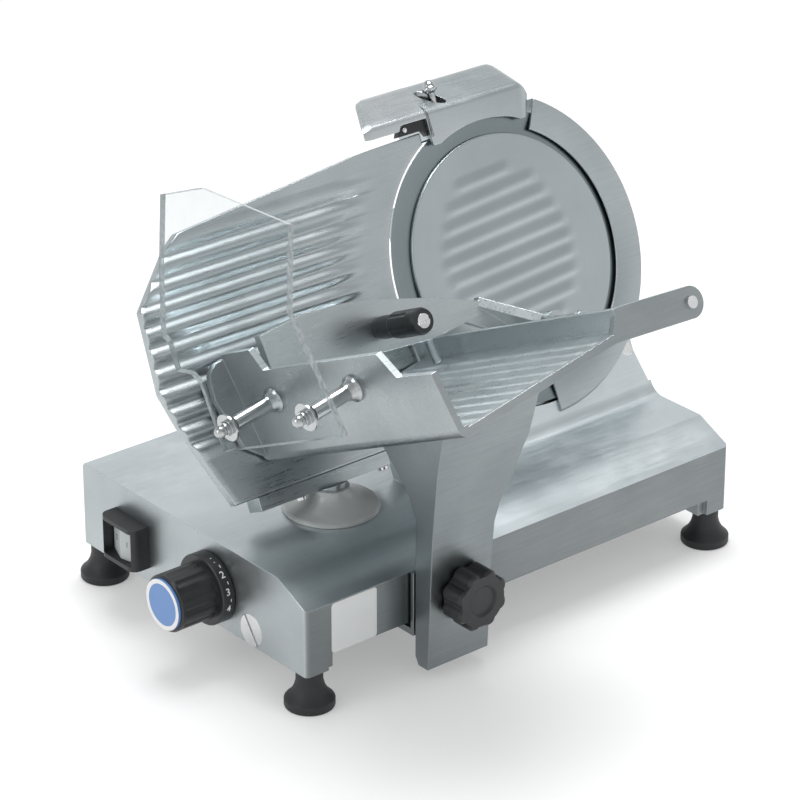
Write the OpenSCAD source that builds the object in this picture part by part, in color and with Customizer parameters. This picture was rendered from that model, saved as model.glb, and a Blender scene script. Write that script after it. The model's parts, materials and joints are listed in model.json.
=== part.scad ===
// Electric gravity-feed food slicer: an inclined round blade, a sliding gauge plate
// and a product carriage that runs along the front of the machine.
// Millimetres. X runs from the control panel to the far end, Y from the carriage side
// to the back, Z up. The origin is under the middle of the machine, on the worktop.

/* [Base] */
// Length of the base casting, from the control panel to the far end
base_l = 455; // [450:1:520]
// Depth of the base casting
base_d = 300; // [296:1:340]
// Height of the casting's flat top above its corner legs
base_h = 75.1; // [74:0.1:82]
// Height of the carriage side where the chamfer begins
base_side_h = 58.6; // [50:0.1:64]
// Width of the chamfer along the carriage side
chamfer_w = 35; // [25:1:45]
// Wall of the base casting
base_wall = 5; // [4:0.1:6]
// Height of the rubber feet
foot_h = 32; // [26:1:40]
// Diameter of a rubber foot on the worktop
foot_d = 41; // [34:1:48]

/* [Blade] */
// Diameter of the blade
blade_d = 250; // [240:1:256]
// Thickness of the blade at its hub
blade_t = 6; // [4:0.1:7]
// Angle by which the blade leans back from upright
blade_tilt = 25; // [22:0.5:28]
// Distance of the blade's axis from the far end of the base
blade_from_end = 108.8; // [103:0.1:115]
// Width of the blade left bare round its cover
blade_bare = 20.5; // [19:0.5:30]
// Width of the guard ring round the blade's rim
ring_w = 10.5; // [8:0.5:14]

/* [Gauge plate] */
// Thickness of the gauge plate without its ribs
gauge_t = 7; // [5:0.1:9]
// Length of the gauge plate's slanted outline along the machine
gauge_l = 311.5; // [300:0.5:314]
// Height of the gauge plate along its own slope
gauge_h = 238.5; // [225:0.5:242]
// Thickest slice that the dial sets, measured along the gauge's own slide
gauge_travel = 14; // [8:1:15]
// Distance between neighbouring ribs
rib_pitch = 16.3; // [14:0.1:20]
// Height of a rib
rib_h = 1.4; // [0.8:0.1:2]

/* [Carriage] */
// Depth of the product tray, out from the blade
tray_depth = 262; // [240:1:280]
// Width of the ribbed tray floor
floor_w = 180; // [170:1:184]
// Height of the tray's smooth fence
fence_h = 87; // [84:1:100]
// Thickness of the tray floor
floor_t = 7; // [5:0.1:8]
// Thickness of the fence
fence_t = 6; // [4:0.1:7]
// Lean of the tray across the blade
tray_lean = 10; // [8:0.5:12]
// Width of the carriage arm at its foot
arm_w = 63; // [56:1:66]
// Thickness of the clear hand guard
guard_t = 5; // [4:0.1:6]
// Distance of the hand guard from the fence
guard_gap = 43.5; // [36:0.5:50]

/* [Controls] */
// Diameter of the thickness dial's grip
dial_d = 48; // [42:1:54]
// Reach of the thickness dial in front of the panel
dial_l = 50; // [44:1:56]
// Diameter of the carriage's clamping knob
knob_d = 52; // [44:1:56]
// Width of the switch housing
switch_w = 46; // [42:1:52]
// Height of the switch housing
switch_h = 38; // [34:1:42]

/* [Hidden] */
$fn = 48;

// Clearances and the overrun of every cut
over = 1;
run_gap = 0.05;
seat_gap = 0.3;
free_gap = 2.5;

// Base casting
corner_r = 4;
rear_chamfer = 6;
leg_w = 22;
leg_block = 25;
leg_block_h = 26;
side_lift = 14;
divider_y = 150;
divider_t = 7;
ledge_w = 8;
ledge_z = 3;
chamfer_a = atan2(base_h - base_side_h, chamfer_w);
foot_inset = 12;
stud_r = 4;
stud_depth = 20;
foot_neck_r = 11;

// Blade plane: u along X, t up the slope, n out of the plane towards the carriage
wall_y = 91.2;
wall_t = 16;
blade_x = base_l - blade_from_end;
wall_near = 168.2;
wall_left = blade_x - wall_near;
wall_low_h = 30;
wall_step = 30;
wall_top_w = 12.6;
wall_top_h = 50.4;
fillet_r = 18;
fillet_sink = 0.05;
blade_r = blade_d / 2;
blade_foot = 25.8;
blade_u = blade_foot + blade_r;
recess_gap = 2.5;
recess_depth = 9;
recess_r = blade_r + recess_gap;
ring_r = recess_r + ring_w;
back_disc_r = 112;

// Housing behind the blade
tower_near = 54.2;
tower_far = 101.8;
tower_left = blade_x - tower_near;
tower_right = blade_x + tower_far;
wall_step_x = tower_left - wall_step;
tower_depth = 88;
tower_top = 215;
tower_knee = 110;
tower_rear_inset = 12;
tower_rear_h = 118;
tower_drop = 4;
bulkhead_n = 74;
bulkhead_t = 4;
rear_hole_w = 112;
rear_hole_h = 70;
rear_cover_t = 2.5;
rear_cover_rim = 10;

// Drive
motor_off = 27.8;
motor_x = blade_x + motor_off;
motor_u = 45;
motor_r = 40;
motor_gap = 20;
motor_room = base_d - tower_rear_inset - base_wall - motor_gap - wall_y;
motor_l = (motor_room - (motor_u + motor_r) * sin(blade_tilt)) / cos(blade_tilt) - bulkhead_n - bulkhead_t;
motor_nose_r = 18;
motor_nose_l = 8;
motor_shaft_r = 5;
motor_pulley_r = 13;
blade_pulley_r = 41;
pulley_n = 70;
pulley_w = 12;
belt_t = 3;
belt_w = 10;
belt_blend = 0.03;
bearing_r = 20;
bearing_w = 12;
boss_r = 28;
boss_end = 54;
spindle_r = 8.5;
spindle_bore_r = 4.5;
hub_r = 32;
hub_t = 2.6;
hub_screw_r = 2.5;
hub_screw_ring = 22;
tie_rod_r = 4;
lock_knob_r = 16;
lock_knob_l = 18;
capacitor_r = 14;
capacitor_l = 58;
capacitor_x = 215;
capacitor_back = 50;
capacitor_y = base_d - capacitor_back;
gland_x = 60;
gland_z = 36;
gland_r = 9;
gland_l = 11;
gland_thread_r = 6;
cable_hole_r = 4;
cover_plate_t = 2;
cover_screw_r = 2;
cover_screw_head_r = 4;
cover_screw_head_t = 1.6;
cover_screw_l = 10;
cover_screw_x_shares = [0.15, 0.5, 0.85];
deflector_t = 1.5;
deflector_n = 10;
deflector_r = 104;
deflector_near = 108.2;
deflector_left = blade_x - deflector_near;
deflector_flange = 30;
deflector_screw_u = [110, 190];
wall_screw_in = 17.1;
wall_screw_x = base_l - wall_screw_in;
wall_screw_u = 44.1;
wall_screw_r = 3;

// Blade and its cover
blade_edge_t = 0.4;
blade_relief = 2.2;
cover_gap = 3.5;
blade_bevel_w = blade_bare - cover_gap;
cover_r = blade_r - blade_bare;
cover_back = -1.6;
cover_front = 1.2;
cover_rib_reach = 70;
cover_rib_lean = 6;
cover_rib_count = 9;
rib_r = 9;
rib_fade = 8;

// Gauge plate and what carries it
gauge_left = -24.5;
gauge_low = 33.5;
gauge_gap = 4.8;
gauge_outline_shares = [
  [0.122, 0], [0.836, 0], [0.836, 0.3], [1, 0.8], [1, 1], [0.787, 0.992], [0.668, 0.977],
  [0.177, 0.918], [0.136, 0.883], [0.011, 0.707], [0, 0.428], [0.026, 0.311]
];
bar_left = 36;
bar_right = 168;
bar_h = 11.5;
bar_t = 18;
bar_low = gauge_low - bar_h;
gauge_screw_x = [77.3, 162];
gauge_screw_r = 2.5;
gauge_screw_l = 16;
screw_head_r = 4.5;
screw_head_t = 2.6;
post_x = 108;
post_y = 103;
post_bottom = 58;
post_r = 12.5;
collar_r = 40;
collar_h = 19;
slot_w = 27;
slider_l = 40;
slider_z = 40;
slider_h = 28;
slider_arm_x = 66;
slider_arm_z = 28;
slider_arm_t = 16;
slider_arm_w = 22;
gauge_rod_r = 5;
gauge_rod_z = 50;
gauge_rod_y = 45;
gauge_rod_pitch = 28;
gauge_rod_boss = 6;

// Thickness dial and its scroll cam
dial_y = 120;
dial_z = 33;
dial_shaft_r = 6;
skirt_r = 30;
skirt_t = 12;
flute_r = 7.5;
flute_depth = 1.2;
flute_count = 12;
disc_t = 2.5;
disc_rim = 2.5;
cam_x = 50;
cam_r = 28;
cam_t = 8;
cam_floor = 3;
scroll_start = 8;
scroll_sweep = 320;
scroll_steps = 32;
pin_r = 3;
pin_gap = 0.3;
boss_l = 20;
dial_boss_r = 13;

// Switch
switch_y = 229;
switch_z = 32;
switch_reach = 17;
switch_corner = 8;
shelf_t = 4;
cheek_t = 4;
rocker_reach = 12;
rocker_gap = 1.2;
rocker_pivot = 3;

// Carriage rail and slider
rod_y = 70.9;
rod_z = 13.4;
rod_r = 8;
plug_r = 14;
plug_slot = 2.4;
rail_w = 10;
rail_z = 16;
rail_h = 6;
roller_r = 10;
roller_w = 7;
roller_gap = 1.5;
carriage_x = 103.5;
bracket_z = 3.5;
bracket_t = 6;
bracket_up = 60;
leg_t = 4;
leg_gap = 1.6;
spacer_t = 2.4;
block_h = 22;
block_d = 40;
bush_wall = 2;
roller_x = 135;
roller_arm_t = 6;
roller_pin_r = 3;

// Carriage arm
arm_inner_y = -(leg_gap + leg_t + spacer_t);
arm_bottom = -20;
knob_x = 138;
knob_z = 41.6;
knob_l = 22;
knob_neck = 2;
knob_lobes = 8;
knob_lobe_r = 7;
knob_bore_r = 4;
arm_outer_shares = [
  [0.59, 0], [0.69, 0.254], [0.79, 0.49], [1, 0.733], [1.27, 0.892], [1.5, 1.04]
];
arm_inner_shares = [
  [-2.23, 0.896], [-1.92, 0.82], [-1.6, 0.746], [-0.92, 0.679], [-0.33, 0.608], [0, 0.535],
  [0, 0.03], [0.15, 0]
];
arm_flare_shares = [[1, 0], [1, 0.34], [1.02, 0.475], [1.09, 0.546], [1.26, 0.63], [1.47, 0.77], [1.6, 1.1]];
arm_rise = 240;
arm_lean_w = 26;

// Tray, in its own frame: w across the floor, v up the fence, n out from the blade
trough_x = 48.1;
trough_u = 65.8;
tray_gap = 4;
floor_drop = 2;
lip_h = 15;
lip_t = 4;
lug_t = 6;
lug_r = 13;
rod_w = 249;
rod_v = -13;
flange_w = 22;
flange_t = 6;
fence_shares = [
  [0, 0], [1, 0], [0.99, 0.53], [0.825, 0.546], [0.779, 0.777], [0.2, 0.793], [0.172, 1], [0.02, 1]
];
flange_shares = [
  [0, -0.02], [0.34, 0.06], [0.7, 0.155], [1, 0.665], [0.87, 0.83], [0.74, 0.9], [0.36, 0.955], [0, 0.955]
];

// Hand guard and its standoffs
standoff_v = 44;
standoff_n = [51, 159];
standoff_r = 6.5;
flange_disc_r = 11;
flange_disc_t = 2;
washer_r = 11.5;
washer_t = 2;
guard_screw_r = 4;
guard_ball_r = 5;
guard_bend = 30;
guard_low_v = 24;
guard_bend_v = 126;
guard_depth_n = 192;
guard_low_shares = [
  [0.146, 0], [1, 0], [1, 1], [0.083, 1], [0.108, 0.94], [0.075, 0.7], [0.166, 0.66], [0.198, 0.57]
];
guard_top_h = 110;
guard_top_shares = [[0.083, 0], [1, 0], [1, 0.59], [0.365, 0.98], [0.06, 1], [0.06, 0.45]];

// Last-slice press
press_n = 41;
press_t = 8;
press_rod_r = 4;
press_rod_start = 20;
bush_r = 6;
bush_ring_r = 7.5;
bush_start = 58;
bush_end = 130;
bush_ring_t = 6;
press_hub_r = 11;
press_hub_l = 30;
gusset_a = 128;
gusset_reach = 50;
gusset_share = 0.8;
press_outline_shares = [
  [0.04, 0.7], [0.05, 1], [0.23, 0.98], [0.405, 0.866], [0.534, 0.736], [0.717, 0.52],
  [0.859, 0.316], [0.964, 0.144], [1.02, -0.06], [0.975, -0.2], [0.8, 0.18], [0.66, 0.2], [0.47, 0.32]
];
press_w = 249;
press_h = 93;
grip_w = 120;
grip_v = 49;
grip_r = 11;
grip_l = 58;
grip_ribs = 6;
grip_screw_r = 6;
pin_len = 10;
spike_r = 1.6;
spike_count = 6;
rest_pin_r = 3.6;
rest_pin_w = 160;

// Sharpener
hood_reach = 6;
hood_back = 38;
hood_wall = 4;
hood_end_t = 8.5;
hood_low = 259;
hood_ridge = 287;
hood_top = 311;
hood_lip_r = 119;
hood_near = 53.2;
hood_far = 64.8;
wing_near = 98;
hood_main_left = blade_x - hood_near;
hood_main_right = blade_x + hood_far;
hood_end_left = blade_x - wing_near;
post_u = 262;
sharp_post_r = 7;
sharp_post_off = 5.8;
sharp_post_x = blade_x + sharp_post_off;
sharp_post_n = 24;
stone_r = 12;
stone_w = 7;
stone_n = 14;
stone_u = [275, 277.6];
stone_off = [-28.2, 34.8];
stone_x = [for (off = stone_off) blade_x + off];
stone_shaft_r = 3;
stone_button_r = 6;
stone_button_l = 7;
wing_low = 277;
wing_high = 310;
wing_t = 4;
wing_depth = 30;
wing_way = 284;
lock_pin_off = 31.2;
lock_pin_x = blade_x - lock_pin_off;
lock_pin_n = 8;
lock_pin_u = 290;
lock_pin_top = 312;
lock_pin_r = 3.5;
lock_head_r = 5;
lock_bar_u = 303;
lock_bar_l = 19;
lock_bar_r = 2.6;
lock_pocket_r = 11.5;
lock_pocket_u = 299;

// The machine's place over its origin
mid_x = (blade_x + ring_r - dial_l) / 2;
tray_front_u = trough_u - (floor_drop + floor_t) * cos(tray_lean);
tray_front_y = wall_y + tray_front_u * sin(blade_tilt) - (tray_gap + tray_depth) * cos(blade_tilt);
mid_y = (base_d + gland_l + tray_front_y) / 2;

// y and z of a point given by its place up the blade plane and out of it
function slope_point(u, n) = [
  wall_y + u * sin(blade_tilt) - n * cos(blade_tilt),
  base_h + u * cos(blade_tilt) + n * sin(blade_tilt)
];
function scaled(shares, a, b) = [for (p = shares) [p[0] * a, p[1] * b]];

module in_place() { translate([-mid_x, -mid_y, foot_h]) children(); }
module on_blade_plane() {
  translate([0, wall_y, base_h]) rotate([90 - blade_tilt, 0, 0]) children();
}
module on_blade_axis() { on_blade_plane() translate([blade_x, blade_u, 0]) children(); }
module on_motor_axis() { on_blade_plane() translate([motor_x, motor_u, 0]) children(); }
module on_tray() {
  on_blade_plane() translate([trough_x, trough_u, tray_gap]) rotate(tray_lean) children();
}
// A solid between two heights n, drawn in the current plane
module slab(low, high) { translate([0, 0, low]) linear_extrude(high - low) children(); }
// A solid of a (y, z) profile between two places along X
module along_x(low, high) {
  translate([low, 0, 0]) rotate([90, 0, 90]) linear_extrude(high - low) children();
}
module rod(r, low, high) { translate([0, 0, low]) cylinder(r = r, h = high - low); }
module ring(outer, inner, low, high) {
  difference() {
    rod(outer, low, high);
    rod(inner, low - over, high + over);
  }
}
module rounded_plan(x0, y0, x1, y1, r) {
  translate([x0 + r, y0]) square([x1 - x0 - 2 * r, y1 - y0]);
  translate([x0, y0 + r]) square([x1 - x0, y1 - y0 - 2 * r]);
  for (x = [x0 + r, x1 - r], y = [y0 + r, y1 - r]) translate([x, y]) circle(r);
}
// A raised rib along its own X, of which rib_h stands proud, with faded ends
module rib(length) {
  intersection() {
    translate([-length / 2, 0, rib_h - rib_r]) rotate([0, 90, 0]) {
      translate([0, 0, rib_fade]) cylinder(r = rib_r, h = length - 2 * rib_fade);
      cylinder(r1 = rib_r - rib_h, r2 = rib_r, h = rib_fade);
      translate([0, 0, length - rib_fade]) cylinder(r1 = rib_r, r2 = rib_r - rib_h, h = rib_fade);
    }
    translate([-length, -rib_r, -over]) cube([length * 2, rib_r * 2, rib_h + 2 * over]);
  }
}

module base_section(inset) {
  polygon([
    [inset, inset > 0 ? -over : 0],
    [inset, base_side_h - inset * (1 / cos(chamfer_a) - tan(chamfer_a))],
    [chamfer_w + inset * tan(chamfer_a / 2), base_h - inset],
    [base_d - rear_chamfer, base_h - inset],
    [base_d - inset, base_h - rear_chamfer],
    [base_d - inset, inset > 0 ? -over : 0]
  ]);
}
// y of the point at height z on the plane n
function plane_y(z, n) = wall_y + (z - base_h - n * sin(blade_tilt)) * tan(blade_tilt) - n * cos(blade_tilt);
module tower_section(inset) {
  low = base_h - tower_drop - inset;
  front = inset > 0 ? over - wall_t : -tower_drop;
  polygon([
    [plane_y(low, front), low],
    slope_point(tower_top - inset, front),
    slope_point(tower_top - inset, -tower_depth + rear_cover_rim),
    slope_point(tower_top - rear_cover_rim - inset, -tower_depth + inset),
    slope_point(tower_knee - inset, -tower_depth + inset),
    [base_d - tower_rear_inset - inset, tower_rear_h - inset],
    [base_d - tower_rear_inset - inset, base_h - tower_drop - inset]
  ]);
}
module wall_outline() {
  difference() {
    union() {
      translate([blade_x, blade_u]) circle(ring_r);
      polygon([
        [wall_left, -tower_drop], [base_l, -tower_drop], [base_l, 0],
        [base_l - wall_top_w, wall_top_h], [blade_x, blade_u], [wall_step_x, wall_low_h * 2 + over],
        [wall_step_x, wall_low_h], [wall_left, wall_low_h]
      ]);
    }
    // free way for the slices, left of the housing
    translate([0, wall_low_h * 2]) square([tower_left + over, blade_u + ring_r]);
    // the guard ring ends under the sharpener
    difference() {
      translate([tower_left - over, blade_u]) square([hood_main_right + 2 * over - tower_left, ring_r + over]);
      translate([blade_x, blade_u]) circle(back_disc_r);
    }
  }
}
module base_shell() {
  difference() {
    intersection() {
      along_x(0, base_l) base_section(0);
      slab(-over, base_h + over) rounded_plan(0, 0, base_l, base_d, corner_r);
    }
    along_x(base_wall, base_l - base_wall) base_section(base_wall);
    // the carriage bracket passes under the front wall
    translate([leg_w, -over, -over]) cube([base_l - 2 * leg_w, base_wall + 2 * over, side_lift + over]);
  }
  for (x = [base_wall - over, base_l - base_wall - leg_block + over])
    for (y = [base_wall - over, base_d - base_wall - leg_block + over])
      translate([x, y, 0]) cube([leg_block, leg_block, leg_block_h]);
  translate([base_wall - over, divider_y, ledge_z])
    cube([base_l - 2 * base_wall + 2 * over, divider_t, base_h - base_wall - ledge_z + over]);
  translate([leg_block, base_d - base_wall - ledge_w, ledge_z])
    cube([base_l - 2 * leg_block, ledge_w + over, ledge_w]);
  // boss that steadies the dial's shaft
  translate([base_wall - over, dial_y, dial_z]) rotate([0, 90, 0]) cylinder(r = dial_boss_r, h = boss_l);
  // boss plate for the front ends of the gauge's guide rods
  translate([post_x - gauge_rod_pitch, gauge_rod_y - gauge_rod_boss, gauge_rod_z - gauge_rod_boss * 2])
    cube([gauge_rod_pitch * 2, gauge_rod_boss, base_h - base_wall - gauge_rod_z + gauge_rod_boss * 2 + over]);
}
module wall_foot() {
  centre_y = wall_y - fillet_r * (1 - sin(blade_tilt)) / cos(blade_tilt);
  touch = [centre_y + fillet_r * cos(blade_tilt), base_h + fillet_r * (1 - sin(blade_tilt))];
  along_x(wall_left + seat_gap, base_l - seat_gap) difference() {
    polygon([[centre_y, base_h - over], [centre_y, base_h], touch, touch + [over, 0], [touch[0] + over, base_h - over]]);
    translate([centre_y, base_h + fillet_r]) circle(fillet_r + fillet_sink);
  }
}
module base_housing() {
  color("gainsboro") difference() {
    union() {
      base_shell();
      wall_foot();
      on_blade_plane() slab(-wall_t, 0) wall_outline();
      difference() {
        along_x(tower_left, tower_right) tower_section(0);
        along_x(tower_left + base_wall, tower_right - base_wall) tower_section(base_wall);
      }
      // bearing boss
      on_blade_axis() rod(boss_r, -boss_end, -wall_t + over);
      // bulkhead that carries the motor
      intersection() {
        along_x(tower_left + over, tower_right - over) tower_section(base_wall - over);
        on_blade_plane() translate([tower_left, motor_u - motor_r, -bulkhead_n - bulkhead_t])
          cube([tower_right - tower_left, motor_r * 2, bulkhead_t]);
      }
      // lug for the sharpener's post, behind the top of the blade
      on_blade_plane() translate([sharp_post_x - sharp_post_r * 2, tower_top - over, -sharp_post_n - sharp_post_r * 2])
        cube([sharp_post_r * 4, post_u - tower_top, sharp_post_n + sharp_post_r * 2 - wall_t + over]);
    }
    tower_bottom_way();
    on_blade_axis() rod(recess_r, -recess_depth, over);
    on_blade_axis() rod(bearing_r, -boss_end - over, -wall_t + over);
    on_blade_axis() rod(boss_r - over * 4, -wall_t, -recess_depth + over);
    on_motor_axis() rod(motor_nose_r + run_gap, -bulkhead_n - bulkhead_t - over, -bulkhead_n + over);
    on_blade_plane() translate([sharp_post_x, 0, -sharp_post_n]) rotate([-90, 0, 0])
      translate([0, 0, post_u - sharp_post_r * 3]) cylinder(r = sharp_post_r + run_gap, h = sharp_post_r * 4);
    on_blade_plane() translate([(tower_left + tower_right - rear_hole_w) / 2, tower_knee + rear_cover_rim, -tower_depth - over])
      cube([rear_hole_w, rear_hole_h, base_wall + 2 * over]);
    panel_holes();
    cover_screw_places() rod(cover_screw_r + run_gap, -over, cover_screw_l);
    rear_screw_places() rod(cover_screw_r + run_gap, -base_wall - over, over);
    deflector_screw_places() rod(cover_screw_r + run_gap, -over, base_wall + over);
    wall_screw_place() {
      rod(wall_screw_r + run_gap, -wall_t - over, over);
      translate([0, 0, -wall_screw_r]) cylinder(r1 = wall_screw_r + run_gap, r2 = wall_screw_r * 2 + run_gap, h = wall_screw_r + run_gap);
    }
    translate([gland_x, base_d, gland_z]) rotate([90, 0, 0]) rod(gland_thread_r + run_gap, -over, base_wall + over);
    foot_places() rod(stud_r + run_gap, -over, stud_depth + run_gap);
    // slot that the gauge's post slides in
    translate([post_x - slot_w / 2, post_y - slot_w / 2, base_h - base_wall - over])
      cube([slot_w, slot_w + gauge_travel, base_wall + 2 * over]);
    for (x = [post_x - gauge_rod_pitch / 2, post_x + gauge_rod_pitch / 2])
      translate([x, 0, gauge_rod_z]) rotate([-90, 0, 0])
        translate([0, 0, gauge_rod_y - gauge_rod_boss - over]) cylinder(r = gauge_rod_r + run_gap, h = gauge_rod_boss + 2 * over);
  }
}
// The opening under the housing, from the base into the tower
module tower_bottom_way() {
  low = base_h - base_wall - over;
  high = base_h + over;
  back = base_d - tower_rear_inset - base_wall;
  along_x(tower_left + base_wall, tower_right - base_wall) polygon([
    [plane_y(low, -wall_t - over), low], [plane_y(high, -wall_t - over), high], [back, high], [back, low]
  ]);
}
module panel_holes() {
  translate([-over, dial_y, dial_z]) rotate([0, 90, 0]) cylinder(r = dial_shaft_r + run_gap, h = boss_l + base_wall + 2 * over);
  translate([-over, rod_y, rod_z]) rotate([0, 90, 0]) cylinder(r = plug_r + run_gap, h = base_l + 2 * over);
}
module foot_places() {
  for (x = [foot_inset, base_l - foot_inset], y = [foot_inset, base_d - foot_inset])
    translate([x, y, 0]) children();
}

module rubber_feet() {
  flare = foot_d / 2 - foot_neck_r;
  color("#1b1b1d") foot_places() difference() {
    rotate_extrude() polygon([
      [0, -foot_h], [foot_d / 2 - over, -foot_h], [foot_d / 2, -foot_h + over], [foot_d / 2, -foot_h * 0.78],
      [foot_neck_r + flare * 0.45, -foot_h * 0.62], [foot_neck_r + flare * 0.15, -foot_h * 0.45],
      [foot_neck_r, -foot_h * 0.28], [foot_neck_r, 0], [0, 0]
    ]);
    rod(stud_r + run_gap, -foot_h / 2 - run_gap, over);
  }
}
module foot_studs() { color("silver") foot_places() rod(stud_r, -foot_h / 2, stud_depth); }

module cover_screw_places() {
  for (x = cover_screw_x_shares * base_l)
    for (y = [divider_y + divider_t / 2, base_d - base_wall - ledge_w / 2]) translate([x, y, 0]) children();
}
module bottom_cover() {
  color("dimgray") difference() {
    for (x = [base_wall + seat_gap, base_wall + leg_block]) {
      back = x > leg_block ? base_wall + seat_gap : base_wall + leg_block;
      translate([x, divider_y, ledge_z - cover_plate_t]) cube([base_l - 2 * x, base_d - back - divider_y, cover_plate_t]);
    }
    cover_screw_places() rod(cover_screw_r + run_gap, 0, cover_screw_l);
  }
}
module rear_hole_place() {
  on_blade_plane() translate([(tower_left + tower_right) / 2, tower_knee + rear_cover_rim + rear_hole_h / 2, -tower_depth]) children();
}
module rear_screw_places() {
  for (x = [-1, 1] * (rear_hole_w + rear_cover_rim) / 2, u = [-1, 1] * (rear_hole_h + rear_cover_rim / 2) / 2)
    rear_hole_place() translate([x, u, base_wall]) children();
}
module rear_cover() {
  color("gainsboro") difference() {
    rear_hole_place() slab(-rear_cover_t, 0)
      rounded_plan(-rear_hole_w / 2 - rear_cover_rim, -rear_hole_h / 2 - rear_cover_rim * 0.75,
        rear_hole_w / 2 + rear_cover_rim, rear_hole_h / 2 + rear_cover_rim * 0.75, corner_r);
    rear_screw_places() rod(cover_screw_r + run_gap, -base_wall - rear_cover_t - over, 0);
    on_blade_axis() rod(tie_rod_r + seat_gap, -tower_depth - rear_cover_t - over, -tower_depth + over);
  }
}
// Screws of the bottom cover and of the rear cover
module cover_screws() {
  color("silver") {
    cover_screw_places() {
      rod(cover_screw_r, ledge_z - cover_plate_t, cover_screw_l - over);
      rod(cover_screw_head_r, ledge_z - cover_plate_t - cover_screw_head_t, ledge_z - cover_plate_t);
    }
    rear_screw_places() {
      rod(cover_screw_r, -base_wall - rear_cover_t, -over);
      rod(cover_screw_head_r, -base_wall - rear_cover_t - cover_screw_head_t, -base_wall - rear_cover_t);
    }
  }
}
module cable_gland() {
  color("#1b1b1d") translate([gland_x, base_d, gland_z]) rotate([-90, 0, 0]) difference() {
    union() {
      rod(gland_thread_r, -base_wall, over);
      cylinder(r = gland_r, h = gland_l / 2, $fn = 6);
      translate([0, 0, gland_l / 2]) cylinder(r1 = gland_r * 0.8, r2 = gland_r * 0.6, h = gland_l / 2);
    }
    rod(cable_hole_r, -base_wall - over, gland_l + over);
  }
}

// The drive: motor, belt, pulleys and spindle
module motor_body() {
  back = -bulkhead_n - bulkhead_t - motor_l;
  front = -bulkhead_n - bulkhead_t;
  color("dimgray") on_motor_axis() difference() {
    union() {
      rod(motor_r, back + motor_nose_l, front);
      rod(motor_r * 0.8, back, front);
      rod(motor_nose_r, front - over, front + bulkhead_t);
    }
    rod(motor_shaft_r + run_gap, back + motor_nose_l, front + bulkhead_t + over);
  }
}
module motor_capacitor() {
  color("#e8e8e6") translate([capacitor_x, capacitor_y, base_h - base_wall - capacitor_r])
    rotate([0, 90, 0]) rod(capacitor_r, 0, capacitor_l);
}
module motor_pulley() {
  back = -bulkhead_n - bulkhead_t - motor_l;
  color("silver") on_motor_axis() {
    rod(motor_shaft_r, back + motor_nose_l + over, -pulley_n + pulley_w + over);
    rod(motor_pulley_r, -pulley_n, -pulley_n + pulley_w);
  }
}
// The space inside a belt run round both pulleys, grown by a distance
module belt_loop(grow, low, high) {
  big = blade_pulley_r + grow;
  small = motor_pulley_r + grow;
  span = [motor_x - blade_x, motor_u - blade_u];
  a = atan2(span[1], span[0]);
  b = acos((big - small) / norm(span));
  rod(big, low, high);
  translate(span) rod(small, low, high);
  // the straight runs meet the circles a hair inside, so that they blend into one
  slab(low, high) polygon([
    (big - belt_blend) * [cos(a + b), sin(a + b)], span + (small - belt_blend) * [cos(a + b), sin(a + b)],
    span + (small - belt_blend) * [cos(a - b), sin(a - b)], (big - belt_blend) * [cos(a - b), sin(a - b)]
  ]);
}
module drive_belt() {
  low = -pulley_n + (pulley_w - belt_w) / 2;
  color("#1b1b1d") on_blade_axis() difference() {
    belt_loop(belt_t + seat_gap, low, low + belt_w);
    belt_loop(seat_gap, low - over, low + belt_w + over);
  }
}
module blade_pulley() {
  web_r = (blade_pulley_r + spindle_r) / 2;
  color("silver") on_blade_axis() difference() {
    rod(blade_pulley_r, -pulley_n, -pulley_n + pulley_w);
    rod(spindle_r, -pulley_n - over, -pulley_n + pulley_w + over);
    for (i = [0:4]) rotate(i * 360 / 5) translate([web_r, 0, 0]) rod(web_r * 0.32, -pulley_n - over, -pulley_n + pulley_w + over);
  }
}
module spindle_bearings() {
  color("silver") on_blade_axis() for (low = [-boss_end, -wall_t - bearing_w])
    ring(bearing_r - run_gap, spindle_r + run_gap, low, low + bearing_w);
}
module blade_spindle() {
  pilot_r = hub_screw_ring / 2;
  color("silver") on_blade_axis() difference() {
    union() {
      rod(spindle_r, -pulley_n - over, -blade_t - hub_t + over);
      rod(hub_r, -blade_t - hub_t, -blade_t);
      rod(pilot_r - run_gap, -blade_t - over, -blade_relief - seat_gap);
    }
    rod(spindle_bore_r, -pulley_n - 2 * over, over);
    hub_screw_places() rod(hub_screw_r + run_gap, -blade_t - hub_t - over, over);
  }
}
module hub_screw_places() { for (i = [0:2]) rotate(i * 120 + 90) translate([hub_screw_ring, 0, 0]) children(); }
module screw_head(r, top) { translate([0, 0, top - r]) cylinder(r1 = r, r2 = r * 2, h = r); }
module blade() {
  color("lightsteelblue") on_blade_axis() difference() {
    rotate_extrude() polygon([
      [hub_screw_ring / 2, -blade_t], [hub_screw_ring / 2, -blade_relief], [blade_r - blade_bevel_w, -blade_relief],
      [blade_r, 0], [blade_r, -blade_edge_t], [blade_r - blade_bevel_w * 0.8, -blade_t]
    ]);
    hub_screw_places() {
      rod(hub_screw_r + run_gap, -blade_t - over, over);
      screw_head(hub_screw_r + run_gap, -blade_relief);
    }
  }
}
module blade_screws() {
  color("silver") on_blade_axis() hub_screw_places() {
    rod(hub_screw_r, -blade_t - hub_t, -blade_relief - hub_screw_r);
    screw_head(hub_screw_r, -blade_relief);
  }
}
module blade_cover() {
  color("silver") on_blade_axis() {
    difference() {
      rod(cover_r, cover_back, cover_front);
      rod(tie_rod_r, cover_back - over, 0);
    }
    rotate(cover_rib_lean) for (i = [-(cover_rib_count - 1) / 2:(cover_rib_count - 1) / 2])
      translate([0, i * rib_pitch, cover_front]) rib(2 * sqrt(pow(cover_rib_reach, 2) - pow(i * rib_pitch * 0.95, 2)));
  }
}
module cover_tie_rod() {
  color("silver") on_blade_axis() rod(tie_rod_r, -tower_depth - rear_cover_t - lock_knob_l * 0.7, 0);
}
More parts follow.
